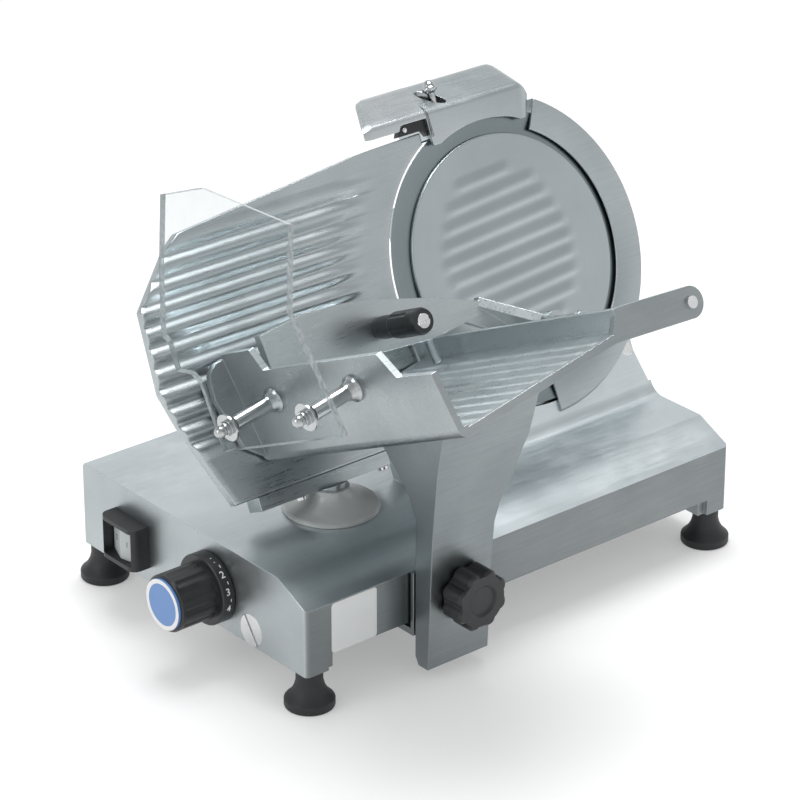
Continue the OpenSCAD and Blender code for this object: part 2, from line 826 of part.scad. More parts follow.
module cover_lock_knob() {
  back = -tower_depth - rear_cover_t - seat_gap;
  color("#1b1b1d") on_blade_axis() difference() {
    rod(lock_knob_r, back - lock_knob_l, back);
    rod(tie_rod_r + run_gap, back - lock_knob_l * 0.7, back + over);
    for (i = [0:7]) rotate(i * 45) translate([lock_knob_r * 1.15, 0, 0]) rod(lock_knob_r * 0.28, back - lock_knob_l - over, back - lock_knob_l * 0.25);
  }
}
module wall_screw_place() { on_blade_plane() translate([wall_screw_x, wall_screw_u, 0]) children(); }
module deflector_screw_places() {
  for (u = deflector_screw_u) on_blade_plane()
    translate([tower_left, u, -deflector_n - deflector_flange * 0.6]) rotate([0, 90, 0]) children();
}
module slice_deflector() {
  color("silver") difference() {
    on_blade_plane() {
      slab(-deflector_n - deflector_t, -deflector_n) intersection() {
        translate([blade_x, blade_u]) circle(deflector_r);
        translate([deflector_left, blade_u - deflector_r]) square([tower_left - deflector_left, deflector_r * 2]);
      }
      translate([tower_left - deflector_t, deflector_screw_u[0] - screw_head_r * 2, -deflector_n - deflector_flange])
        cube([deflector_t, deflector_screw_u[1] - deflector_screw_u[0] + screw_head_r * 4, deflector_flange]);
    }
    deflector_screw_places() rod(cover_screw_r + run_gap, -deflector_t - over, over);
  }
}
// Countersunk screw in the wall beside the blade, and the deflector's two screws
module wall_screws() {
  color("silver") {
    wall_screw_place() {
      rod(wall_screw_r, -wall_t + over, -wall_screw_r);
      screw_head(wall_screw_r, 0);
    }
    deflector_screw_places() {
      rod(cover_screw_r, -deflector_t, base_wall);
      rod(cover_screw_head_r, -deflector_t - cover_screw_head_t, -deflector_t);
    }
  }
}

// What is inside the base for the carriage and the gauge
module guide_rod() {
  color("silver") translate([0, rod_y, rod_z]) rotate([0, 90, 0]) rod(rod_r, base_wall + over, base_l - base_wall - over);
}
module guide_rod_plugs() {
  color("silver") for (end = [0, 1]) translate([end * base_l, rod_y, rod_z]) mirror([end, 0, 0]) rotate([0, 90, 0]) difference() {
    rod(plug_r, 0, base_wall + bush_ring_t);
    rod(rod_r + run_gap, base_wall, base_wall + bush_ring_t + over);
    rotate(-35) translate([-plug_r - over, -plug_slot / 2, -over]) cube([2 * plug_r + 2 * over, plug_slot, plug_slot + over]);
  }
}
module support_rail() {
  color("silver") translate([base_wall + leg_block, base_wall, rail_z])
    cube([base_l - 2 * (base_wall + leg_block), rail_w, rail_h]);
}
module gauge_guide_rods() {
  color("silver") for (x = [post_x - gauge_rod_pitch / 2, post_x + gauge_rod_pitch / 2])
    translate([x, 0, gauge_rod_z]) rotate([-90, 0, 0]) rod(gauge_rod_r, gauge_rod_y - gauge_rod_boss, divider_y);
}

// Switch with its rocker
module switch_plan(grow) {
  difference() {
    rounded_plan(-switch_reach, -switch_w / 2, switch_corner, switch_w / 2, switch_corner);
    translate([0, -switch_w]) square([switch_corner + over, switch_w * 2]);
  }
}
module switch_housing() {
  color("#1b1b1d") translate([0, switch_y, switch_z]) difference() {
    slab(-switch_h / 2, switch_h / 2) switch_plan();
    translate([-switch_reach - over, -switch_w / 2 + cheek_t, -switch_h / 2 + shelf_t])
      cube([switch_reach + over - rocker_pivot, switch_w - 2 * cheek_t, switch_h - 2 * shelf_t]);
  }
}
rocker_turn = 12;
module switch_rocker() {
  half = switch_w / 2 - cheek_t - rocker_gap;
  rise = switch_h / 2 - shelf_t - seat_gap;
  depth = rocker_reach - rocker_pivot;
  color("lightgray") translate([-rocker_pivot - over, switch_y, switch_z]) rotate(-rocker_turn / 2)
    slab(-rise, rise) polygon([
      [-depth * 0.4, -half], [-depth, -half * 0.1], [-depth * 0.4, half],
      [-depth * 0.1, half * 0.85], [0, half * 0.2], [0, -half * 0.2], [-depth * 0.1, -half * 0.85]
    ]);
}

// Thickness dial: grip with its numbered skirt, disc, shaft and scroll
module on_dial() { translate([0, dial_y, dial_z]) rotate([0, 90, 0]) children(); }
module dial_knob() {
  dial_r = dial_d / 2;
  front = -dial_l + disc_t;
  color("#1b1b1d") on_dial() difference() {
    union() {
      rod(dial_r, front + over, -skirt_t);
      translate([0, 0, front]) cylinder(r1 = dial_r - over, r2 = dial_r, h = over);
      translate([0, 0, -skirt_t]) cylinder(r1 = skirt_r - over, r2 = skirt_r, h = over);
      rod(skirt_r, -skirt_t + over, -seat_gap * 2);
    }
    for (i = [0:flute_count - 1]) rotate(i * 360 / flute_count)
      translate([dial_r + flute_r - flute_depth, 0, 0]) rod(flute_r, front + flute_depth * 3, -skirt_t - flute_depth);
    rod(dial_shaft_r + run_gap, -dial_l * 0.8, 0);
  }
}
module dial_disc() { color("royalblue") on_dial() rod(dial_d / 2 - disc_rim, -dial_l, -dial_l + disc_t); }
function scroll_r(s) = scroll_start + gauge_travel * s / scroll_sweep;
module scroll_groove() {
  half = pin_r + pin_gap;
  steps = [for (i = [0:scroll_steps]) scroll_sweep * i / scroll_steps];
  polygon(concat(
    [for (s = steps) (scroll_r(s) + half) * [cos(s), sin(s)]],
    [for (i = [scroll_steps:-1:0]) (scroll_r(steps[i]) - half) * [cos(steps[i]), sin(steps[i])]]
  ));
  for (s = [0, scroll_sweep]) translate(scroll_r(s) * [cos(s), sin(s)]) circle(half);
}
module dial_cam() {
  color("silver") difference() {
    on_dial() {
      rod(dial_shaft_r, -dial_l * 0.8, cam_x + over);
      rod(cam_r, cam_x, cam_x + cam_t);
    }
    translate([cam_x + cam_floor, dial_y, dial_z]) rotate([90, 0, 90]) mirror([0, 1, 0])
      slab(0, cam_t) scroll_groove();
  }
}

// Gauge plate and its carriage
module gauge_outline() {
  translate([gauge_left, gauge_low]) polygon(scaled(gauge_outline_shares, gauge_l, gauge_h));
}
module gauge_ribs() {
  first = gauge_low + gauge_h * 0.21;
  count = floor(gauge_h * 0.7 / rib_pitch);
  for (i = [0:count]) {
    u = first + i * rib_pitch;
    right = blade_x - sqrt(pow(blade_r * 1.2, 2) - pow(u - blade_u, 2));
    translate([(right + gauge_left - rib_fade) / 2, u, 0]) rib(right - gauge_left + rib_fade);
  }
}
module gauge_screw_places() {
  for (x = gauge_screw_x) on_blade_plane() translate([x, bar_low, -gauge_t / 2]) rotate([-90, 0, 0]) children();
}
module gauge_plate() {
  color("silver") difference() {
    on_blade_plane() difference() {
      union() {
        slab(-gauge_t, 0) gauge_outline();
        intersection() {
          slab(-over, rib_h + over) gauge_outline();
          gauge_ribs();
        }
      }
      translate([blade_x, blade_u, 0]) rod(blade_r + gauge_gap, -gauge_t - over, rib_h + over);
    }
    gauge_screw_places() rod(gauge_screw_r + run_gap, 0, gauge_screw_l + over);
  }
}
module gauge_bar() {
  color("silver") difference() {
    on_blade_plane() translate([bar_left, bar_low, -bar_t]) cube([bar_right - bar_left, bar_h, bar_t]);
    gauge_screw_places() rod(gauge_screw_r + run_gap, -over, gauge_screw_l);
  }
}
module gauge_screws() {
  color("silver") gauge_screw_places() {
    rod(gauge_screw_r, 0, gauge_screw_l);
    rod(screw_head_r, -screw_head_t, 0);
  }
}
module gauge_post() {
  color("silver") difference() {
    translate([post_x, post_y, 0]) rod(post_r, post_bottom, base_h * 2);
    above_bar(0);
  }
}
// Everything above the gauge bar's underside, less a gap
module above_bar(gap) {
  on_blade_plane() translate([bar_left, bar_low - gap, -base_h]) cube([bar_right, base_h * 2, base_h * 2]);
}
module post_collar() {
  bottom = base_h + seat_gap;
  color("white") translate([post_x, post_y, bottom]) difference() {
    rotate_extrude() polygon(concat(
      [[0, 0], [collar_r, 0], [collar_r, collar_h * 0.12]],
      [for (a = [0:15:90]) [
        collar_r * 0.94 - (collar_r * 0.94 - post_r * 1.2) * sin(a),
        collar_h * 0.2 + collar_h * 0.8 * (1 - cos(a))
      ]],
      [[0, collar_h]]
    ));
    rod(post_r + run_gap, -over, collar_h + over);
    translate([-post_x, -post_y, -bottom]) above_bar(seat_gap);
  }
}
module gauge_slider() {
  front = post_y - slider_l / 2;
  pin_y = dial_y + scroll_start;
  color("dimgray") difference() {
    union() {
      translate([post_x - slider_l / 2, front, slider_z]) cube([slider_l, slider_l, slider_h]);
      translate([slider_arm_x, pin_y - slider_arm_w / 2, slider_arm_z])
        cube([post_x - slider_arm_x - slider_l / 4, slider_arm_w * 0.75, slider_arm_t]);
      translate([0, pin_y, dial_z]) rotate([0, 90, 0]) rod(pin_r, cam_x + cam_floor + pin_gap, slider_arm_x + over);
    }
    for (x = [post_x - gauge_rod_pitch / 2, post_x + gauge_rod_pitch / 2])
      translate([x, 0, gauge_rod_z]) rotate([-90, 0, 0]) rod(gauge_rod_r + run_gap, 0, divider_y);
    translate([post_x, post_y, 0]) rod(post_r + run_gap, post_bottom, base_h);
  }
}

// Carriage: slider, bracket and arm
module on_guide_rod() { translate([carriage_x, rod_y, rod_z]) rotate([0, 90, 0]) children(); }
module carriage_slider() {
  color("dimgray") difference() {
    translate([carriage_x, rod_y - block_d / 2, rod_z - block_h / 2]) cube([arm_w, block_d, block_h]);
    on_guide_rod() rod(rod_r + bush_wall + run_gap, -over, arm_w + over);
  }
}
module slider_bushes() {
  color("goldenrod") on_guide_rod() for (low = [0, arm_w * 0.76])
    ring(rod_r + bush_wall, rod_r + run_gap, low, low + arm_w * 0.24);
}
roller_z = rail_z + rail_h + roller_r + run_gap;
roller_y = base_wall + roller_gap;
module on_roller() { translate([roller_x, roller_y, roller_z]) rotate([-90, 0, 0]) children(); }
module carriage_roller() { color("#e8e8e6") on_roller() ring(roller_r, roller_pin_r + run_gap, 0, roller_w); }
module carriage_bracket() {
  arm_y = base_wall + rail_w + free_gap;
  color("silver") difference() {
    union() {
      translate([carriage_x, arm_inner_y + spacer_t, bracket_z])
        cube([arm_w, rod_y - block_d / 2 - arm_inner_y - spacer_t, bracket_t]);
      translate([carriage_x, arm_inner_y + spacer_t, bracket_z]) cube([arm_w, leg_t, bracket_up - bracket_z]);
      translate([roller_x - roller_r, arm_y, bracket_z + bracket_t - over])
        cube([roller_r * 2, roller_arm_t, roller_z + roller_pin_r * 2 - bracket_z - bracket_t + over]);
      on_roller() rod(roller_pin_r, 0, arm_y + roller_arm_t - roller_y);
    }
    on_knob() rod(knob_bore_r + run_gap, arm_inner_y - base_wall, base_wall);
  }
}
module on_knob() { translate([knob_x, 0, knob_z]) rotate([-90, 0, 0]) children(); }
module arm_spacer() {
  inset = leg_t;
  color("#1b1b1d") difference() {
    translate([carriage_x + inset, arm_inner_y, bracket_z + inset]) cube([arm_w - 2 * inset, spacer_t, bracket_up - bracket_z - 2 * inset]);
    on_knob() rod(knob_bore_r + run_gap, arm_inner_y - over, 0);
  }
}
module carriage_arm() {
  color("gainsboro") difference() {
    intersection() {
      along_x(carriage_x, carriage_x + arm_w * 2) translate([arm_inner_y, arm_bottom])
        polygon(concat(
          [for (p = arm_outer_shares) [-p[0] * arm_lean_w, p[1] * arm_rise]],
          [for (p = arm_inner_shares) [-p[0] * arm_lean_w, p[1] * arm_rise]]
        ));
      translate([carriage_x, base_l / 2, arm_bottom]) rotate([90, 0, 0]) linear_extrude(base_l)
        polygon(concat([[0, arm_rise * 1.1], [0, 0]], scaled(arm_flare_shares, arm_w, arm_rise)));
    }
    on_tray() translate([-tray_depth, -floor_drop - floor_t, -tray_depth]) cube(tray_depth * 3);
    on_knob() rod(knob_bore_r + run_gap, arm_inner_y - arm_lean_w * 2, 0);
  }
}
module arm_knob() {
  front = arm_inner_y - arm_lean_w * 0.69 - knob_neck - knob_l;
  lobe_ring = knob_d / 2 - knob_lobe_r;
  color("#1b1b1d") on_knob() difference() {
    union() {
      rod(lobe_ring + knob_lobe_r * 0.4, front, front + knob_l);
      for (i = [0:knob_lobes - 1]) rotate((i + 0.5) * 360 / knob_lobes) translate([lobe_ring, 0, 0]) {
        rod(knob_lobe_r, front + over * 2, front + knob_l - over * 2);
        translate([0, 0, front]) cylinder(r1 = knob_lobe_r - over * 2, r2 = knob_lobe_r, h = over * 2);
        translate([0, 0, front + knob_l - over * 2]) cylinder(r1 = knob_lobe_r, r2 = knob_lobe_r - over * 2, h = over * 2);
      }
      rod(lobe_ring * 0.6, front + knob_l - over, front + knob_l + knob_neck - over);
    }
    translate([0, 0, front - over]) cylinder(r1 = lobe_ring * 0.8, r2 = lobe_ring * 0.6, h = over * 3);
    rod(knob_bore_r + run_gap, front + knob_l / 2, 0);
  }
}
module arm_knob_stud() {
  front = arm_inner_y - arm_lean_w * 0.69 - knob_neck - knob_l / 2;
  color("silver") on_knob() rod(knob_bore_r, front + seat_gap, -leg_gap);
}

// Tray with its fence, flange, lip and lug
function under_floor() = -floor_drop - floor_t;
module fence_plate(low, high) { translate([high, 0, 0]) rotate([0, -90, 0]) linear_extrude(high - low) children(); }
module carriage_tray() {
  bend_r = floor_drop + floor_t;
  color("silver") on_tray() difference() {
    union() {
      translate([bend_r, under_floor(), 0]) cube([floor_w - bend_r, floor_t, tray_depth]);
      intersection() {
        translate([bend_r, 0, 0]) rod(bend_r, 0, tray_depth);
        translate([0, under_floor(), 0]) cube([bend_r + over, bend_r, tray_depth]);
      }
      fence_plate(0, fence_t) polygon(scaled(fence_shares, tray_depth, fence_h));
      slab(0, flange_t) polygon(scaled(flange_shares, -flange_w, fence_h));
      translate([floor_w - lip_t, under_floor(), 0]) cube([lip_t, lip_h - under_floor(), tray_depth]);
      slab(tray_depth - lug_t, tray_depth) {
        translate([rod_w, rod_v]) circle(lug_r);
        polygon([
          [floor_w - lug_r, under_floor()], [rod_w - lug_r * 0.25, rod_v - lug_r * 0.96],
          [rod_w + lug_r * 0.25, rod_v + lug_r * 0.96], [floor_w, lip_h], [floor_w - lug_r, -floor_drop]
        ]);
      }
      for (w = [fence_t + rib_pitch:rib_pitch:floor_w - lip_t - rib_pitch / 2])
        translate([w, -floor_drop, tray_depth / 2]) rotate([0, 0, -90]) rotate([0, -90, 0]) rib(tray_depth - floor_drop);
    }
    translate([rod_w, rod_v, 0]) rod(press_rod_r + run_gap, 0, tray_depth + over);
  }
}
module standoff_places() {
  for (n = standoff_n) on_tray() translate([0, standoff_v, n]) rotate([0, -90, 0]) children();
}
module guard_standoffs() {
  color("silver") standoff_places() difference() {
    rotate_extrude() polygon([
      [0, 0], [flange_disc_r, 0], [flange_disc_r, flange_disc_t], [standoff_r * 1.35, flange_disc_t * 2],
      [standoff_r, flange_disc_t * 5], [standoff_r, guard_gap], [0, guard_gap]
    ]);
    rod(guard_screw_r, guard_gap / 2, guard_gap + over);
  }
}
module guard_screws() {
  outer = guard_gap + guard_t;
  color("silver") standoff_places() {
    rod(guard_screw_r - run_gap, guard_gap / 2 + over, outer + washer_t + guard_ball_r);
    rod(washer_r, outer, outer + washer_t);
    rod(guard_screw_r * 1.6, outer + washer_t, outer + washer_t * 3);
    translate([0, 0, outer + washer_t * 3 + guard_ball_r * 0.6]) sphere(guard_ball_r);
  }
}
// The guard's bent section, from its bend down and up by a length
module guard_section(length) {
  half = guard_t / 2;
  mitre = half * tan(guard_bend / 2);
  along = [sin(guard_bend), cos(guard_bend)];
  across = [cos(guard_bend), -sin(guard_bend)];
  polygon([
    [-half, -length], [half, -length], [half, -mitre], along * length + across * half,
    along * length - across * half, [-half, mitre]
  ]);
}
module hand_guard() {
  middle = -guard_gap - guard_t / 2;
  low_h = guard_bend_v - guard_low_v;
  bend_start = guard_top_shares[0][0] * guard_depth_n;
  color("lightcyan", 0.4) difference() {
    on_tray() translate([middle, guard_bend_v, 0]) intersection() {
      slab(-over, guard_depth_n + over) guard_section(guard_top_h + over);
      union() {
        fence_plate(-guard_top_h, guard_top_h) {
          translate([0, -low_h]) polygon(scaled(guard_low_shares, guard_depth_n, low_h));
          translate([bend_start, -over]) square([guard_depth_n - bend_start, over * 2]);
        }
        rotate(-guard_bend) fence_plate(-guard_t, guard_t) polygon(scaled(guard_top_shares, guard_depth_n, guard_top_h));
      }
    }
    standoff_places() rod(guard_screw_r, guard_gap - over, guard_gap + guard_t + over);
  }
}

// Last-slice press on its rod
module on_press() { on_tray() translate([rod_w, rod_v, 0]) children(); }
module press_rod() {
  color("silver") on_press() {
    rod(press_rod_r, press_rod_start, tray_depth);
    rod(press_rod_r * 1.25, tray_depth, tray_depth + disc_t);
  }
}
module press_bush() {
  color("silver") on_press() difference() {
    union() {
      rod(bush_r, bush_start, bush_end);
      rod(bush_ring_r, bush_end - bush_ring_t, bush_end);
    }
    rod(press_rod_r + run_gap, bush_start - over, bush_end + over);
  }
}
module press_casting() {
  hub_low = bush_start + bush_ring_t;
  color("gainsboro") difference() {
    union() {
      on_tray() slab(press_n, press_n + press_t) polygon(scaled(press_outline_shares, press_w, press_h));
      on_press() rod(press_hub_r, press_n, hub_low + press_hub_l);
      // gusset from the plate to the hub
      on_press() rotate(gusset_a) translate([0, press_t / 2, 0]) rotate([90, 0, 0]) linear_extrude(press_t) polygon([
        [0, press_n + over], [gusset_reach, press_n + over], [gusset_reach, press_n + press_t - over],
        [press_hub_r * gusset_share, hub_low + press_hub_l * gusset_share], [0, hub_low + press_hub_l * gusset_share]
      ]);
      // pin that rests on the tray floor
      on_tray() translate([rest_pin_w, 0, press_n + press_t / 2]) rotate([-90, 0, 0])
        rod(rest_pin_r, rib_h - floor_drop + seat_gap, press_h * 0.3);
    }
    on_press() rod(bush_r + run_gap, 0, tray_depth);
  }
}
module press_grip() {
  low = press_n + press_t;
  color("#1b1b1d") on_tray() translate([grip_w, grip_v, low]) difference() {
    rotate_extrude() polygon([
      [0, 0], [grip_r * 0.8, 0], [grip_r * 0.86, grip_l * 0.1], [grip_r * 0.86, grip_l * 0.35],
      [grip_r, grip_l * 0.42], [grip_r, grip_l * 0.95], [grip_r * 0.9, grip_l], [0, grip_l]
    ]);
    for (i = [0:grip_ribs - 1]) rotate(i * 360 / grip_ribs) translate([grip_r * 1.28, 0, 0])
      rod(grip_r * 0.35, grip_l * 0.12, grip_l * 0.8);
    rod(grip_screw_r, grip_l - floor_drop, grip_l + over);
  }
}
module grip_screw() {
  low = press_n + press_t + grip_l;
  color("silver") on_tray() translate([grip_w, grip_v, low]) difference() {
    rod(grip_screw_r - run_gap, -floor_drop, over);
    translate([-grip_screw_r, -grip_screw_r / 6, 0]) cube([grip_screw_r * 2, grip_screw_r / 3, over * 2]);
  }
}
spike_places = [for (i = [0:spike_count - 1], side = [-1, 1])
  [press_w * (0.16 + 0.12 * i), press_h * (0.8 - 0.096 * i + 0.08 * side)]];
module press_spikes() {
  color("silver") on_tray() for (p = spike_places) translate([p[0], p[1], press_n - pin_len * 0.8])
    cylinder(r1 = spike_r * 0.15, r2 = spike_r, h = pin_len * 0.8);
}

// Sharpener on its post over the blade
module along_blade(low, high) { translate([low, 0, 0]) rotate([0, 90, 0]) linear_extrude(high - low) children(); }
module hood_profile(inset, low) {
  polygon([
    [-hood_reach + inset, low], [-hood_reach + inset, hood_ridge - inset * 0.5], [hood_back * 0.75, hood_top - inset],
    [hood_back - inset, hood_top - hood_wall - inset], [hood_back - inset, low]
  ]);
}
module sharpener_hood() {
  end = hood_main_right;
  color("silver") on_blade_plane() difference() {
    union() {
      difference() {
        intersection() {
          along_blade(hood_main_left, end) hood_profile(0, hood_low - hood_wall);
          slab(-hood_back - over, hood_reach + over) polygon([
            [hood_main_left, 0], [end - hood_wall * 2, hood_low - hood_wall], [end - over * 2, hood_low + hood_wall * 3],
            [end, hood_ridge], [end, hood_top + over], [hood_main_left, hood_top + over]
          ]);
        }
        along_blade(hood_main_left + hood_wall, end - hood_wall * 2) hood_profile(hood_wall, 0);
      }
      translate([sharp_post_x, 0, -sharp_post_n]) rotate([-90, 0, 0])
        rod(sharp_post_r + hood_wall, post_u + seat_gap * 4, hood_top - hood_wall * 2);
    }
    translate([blade_x, blade_u, 0]) rod(hood_lip_r, -hood_back * 2, hood_reach * 2);
    translate([blade_x, blade_u, 0]) rod(blade_r + recess_gap, -recess_depth, hood_reach - hood_wall);
    for (x = [hood_main_left - over, hood_main_right - hood_end_t])
      intersection() {
        translate([blade_x, blade_u, 0]) rod(blade_r + recess_gap, -hood_back - over, hood_reach + over);
        translate([x, blade_u, -hood_back * 2]) cube([hood_end_t + over, ring_r, hood_back * 4]);
      }
    translate([sharp_post_x, 0, -sharp_post_n]) rotate([-90, 0, 0]) rod(sharp_post_r + run_gap, 0, hood_top - hood_wall * 3);
    stone_places() rod(stone_button_r + run_gap, -hood_back - over, -hood_back + hood_wall + over);
    translate([lock_pin_x, 0, -lock_pin_n]) rotate([-90, 0, 0]) {
      rod(lock_pin_r + run_gap, lock_pin_u - over, lock_pocket_u + over);
      rod(lock_pocket_r, lock_pocket_u, hood_top + over);
    }
  }
}
module sharpener_wing() {
  color("silver") on_blade_plane() difference() {
    intersection() {
      along_blade(hood_end_left, hood_main_left) hood_profile(floor_drop, wing_low);
      slab(-wing_depth, hood_reach) polygon([
        [hood_end_left, wing_low], [hood_main_left, wing_low], [hood_main_left, hood_top],
        [hood_end_left + wing_t * 3, wing_high], [hood_end_left, wing_high - wing_t * 3]
      ]);
    }
    translate([hood_end_left - over, 0, -hood_back]) cube([hood_main_left, wing_way, hood_back]);
  }
}
module sharpener_post() {
  color("silver") on_blade_plane() translate([sharp_post_x, 0, -sharp_post_n]) rotate([-90, 0, 0])
    rod(sharp_post_r, post_u - sharp_post_r * 3, hood_top - hood_wall * 3 - over);
}
module stone_places() { for (i = [0, 1]) translate([stone_x[i], stone_u[i], 0]) children(); }
module stone(x, u) {
  on_blade_plane() translate([x, u, 0]) {
    rod(stone_r, -stone_n - stone_w, -stone_n);
    rod(stone_shaft_r, -hood_back - stone_button_l, -stone_n);
    rod(stone_button_r, -hood_back - stone_button_l, -hood_back - seat_gap);
  }
}
module truing_stone() { color("tan") stone(stone_x[0], stone_u[0]); }
module grinding_stone() { color("rosybrown") stone(stone_x[1], stone_u[1]); }
module sharpener_pin() {
  color("silver") on_blade_plane() translate([lock_pin_x, 0, -lock_pin_n]) rotate([-90, 0, 0]) {
    rod(lock_pin_r, lock_pin_u, lock_pin_top);
    translate([0, 0, lock_pin_top]) sphere(lock_head_r);
    translate([-lock_bar_l / 2, 0, lock_bar_u]) rotate([0, 90, 0]) rod(lock_bar_r, 0, lock_bar_l);
  }
}

in_place() base_housing();
in_place() rubber_feet();
in_place() foot_studs();
in_place() bottom_cover();
in_place() rear_cover();
in_place() cover_screws();
in_place() motor_body();
in_place() motor_capacitor();
in_place() motor_pulley();
in_place() drive_belt();
in_place() blade_pulley();
in_place() spindle_bearings();
in_place() blade_spindle();
in_place() blade();
in_place() blade_screws();
in_place() blade_cover();
in_place() cover_tie_rod();
in_place() cover_lock_knob();
in_place() slice_deflector();
in_place() wall_screws();
in_place() guide_rod();
in_place() guide_rod_plugs();
in_place() support_rail();
in_place() gauge_guide_rods();
in_place() cable_gland();
in_place() switch_housing();
in_place() switch_rocker();
in_place() dial_knob();
in_place() dial_disc();
in_place() dial_cam();
in_place() gauge_plate();
in_place() gauge_bar();
in_place() gauge_screws();
in_place() gauge_post();
in_place() post_collar();
in_place() gauge_slider();
in_place() carriage_slider();
in_place() slider_bushes();
in_place() carriage_roller();
in_place() carriage_bracket();
in_place() arm_spacer();
in_place() carriage_arm();
in_place() arm_knob();
in_place() arm_knob_stud();
in_place() carriage_tray();
in_place() guard_standoffs();
in_place() guard_screws();
in_place() hand_guard();
in_place() press_rod();
in_place() press_bush();
in_place() press_casting();
in_place() press_grip();
in_place() grip_screw();
in_place() press_spikes();
in_place() sharpener_hood();
in_place() sharpener_wing();
in_place() sharpener_post();
in_place() truing_stone();
in_place() grinding_stone();
in_place() sharpener_pin();
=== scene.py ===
# Electric gravity-feed slicer: finishes, small visual pieces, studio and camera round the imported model.
# Lamps and camera are in metres, in the row's frame; the pieces' dictionaries are in millimetres and degrees.
import json
import math

import bmesh
import bpy
from mathutils import Euler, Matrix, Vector, bvhtree

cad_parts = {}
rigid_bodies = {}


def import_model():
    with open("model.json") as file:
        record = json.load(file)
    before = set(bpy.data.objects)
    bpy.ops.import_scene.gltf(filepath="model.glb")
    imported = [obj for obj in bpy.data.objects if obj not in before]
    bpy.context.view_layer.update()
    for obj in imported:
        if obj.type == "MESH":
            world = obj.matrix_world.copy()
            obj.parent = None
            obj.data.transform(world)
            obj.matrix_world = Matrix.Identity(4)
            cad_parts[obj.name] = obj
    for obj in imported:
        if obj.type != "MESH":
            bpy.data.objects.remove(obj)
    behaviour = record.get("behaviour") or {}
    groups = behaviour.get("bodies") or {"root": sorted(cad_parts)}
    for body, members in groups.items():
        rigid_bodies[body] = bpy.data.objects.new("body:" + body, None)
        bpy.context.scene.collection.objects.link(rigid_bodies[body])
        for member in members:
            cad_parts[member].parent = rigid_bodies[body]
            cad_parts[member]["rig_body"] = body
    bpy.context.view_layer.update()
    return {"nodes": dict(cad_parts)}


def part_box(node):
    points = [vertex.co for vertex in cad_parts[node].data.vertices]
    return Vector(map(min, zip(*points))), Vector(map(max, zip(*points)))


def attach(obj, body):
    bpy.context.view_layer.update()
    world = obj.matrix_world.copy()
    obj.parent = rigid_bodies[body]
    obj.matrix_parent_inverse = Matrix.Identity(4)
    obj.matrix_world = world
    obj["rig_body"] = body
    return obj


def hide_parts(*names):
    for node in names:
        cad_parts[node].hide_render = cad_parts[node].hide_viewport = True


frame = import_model()
nodes = frame["nodes"]
bodyOf = {name: piece["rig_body"] for name, piece in nodes.items()}
mm = 0.001
print("frame loaded:", len(nodes), "nodes")

# The machine's own axes: X from the control panel to the far end, Y to the back, Z up from the base's foot
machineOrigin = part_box("base_housing")[0]
slope = {"tilt": 25, "wallY": 91.2, "deckZ": 75.1, "bladeX": 346.2, "bladeUp": 150.8}
tilt = math.radians(slope["tilt"])
upSlope = Vector((0, math.sin(tilt), math.cos(tilt)))
outward = Vector((0, -math.cos(tilt), math.sin(tilt)))


def machinePoint(x, y, z):
    return machineOrigin + Vector((x, y, z)) * mm


# A place by its distance along the machine, up the inclined wall and out from it
def bladePlane(x, up, out):
    foot = machinePoint(0, slope["wallY"], slope["deckZ"])
    return foot + (Vector((x, 0, 0)) + upSlope * up + outward * out) * mm


# The same, measured from the blade's axis
def onBlade(a, b, out):
    return bladePlane(slope["bladeX"] + a, slope["bladeUp"] + b, out)


bladeCentre = onBlade(0, 0, 0)


# 0 up to t = 0, 1 from t = 1 on, and a soft rise between
def ease(t):
    t = min(max(t, 0), 1)
    return t * t * (3 - 2 * t)


# How far a rounded edge has dropped at a distance from its end
def edgeDrop(away, roundness):
    if away >= roundness:
        return 0
    return roundness - math.sqrt(max(roundness ** 2 - (roundness - away) ** 2, 0))


def circle(radius, count):
    turns = [2 * math.pi * i / count for i in range(count)]
    return [(radius * math.cos(turn), radius * math.sin(turn)) for turn in turns]


# A socket that can be used in sums
class Wire:
    def __init__(self, finish, socket):
        self.finish = finish
        self.socket = socket

    def combine(self, operation, first, second):
        return self.finish.add("ShaderNodeMath", {"operation": operation}, {0: first, 1: second})

    def __add__(self, other):
        return self.combine("ADD", self, other)

    def __radd__(self, other):
        return self.combine("ADD", other, self)

    def __sub__(self, other):
        return self.combine("SUBTRACT", self, other)

    def __rsub__(self, other):
        return self.combine("SUBTRACT", other, self)

    def __mul__(self, other):
        return self.combine("MULTIPLY", self, other)

    def __rmul__(self, other):
        return self.combine("MULTIPLY", other, self)


# Cosines between the rounded and the flat normal on open faces and on worn edges
rubbed = {"samples": 4, "open": 0.995, "worn": 0.88}


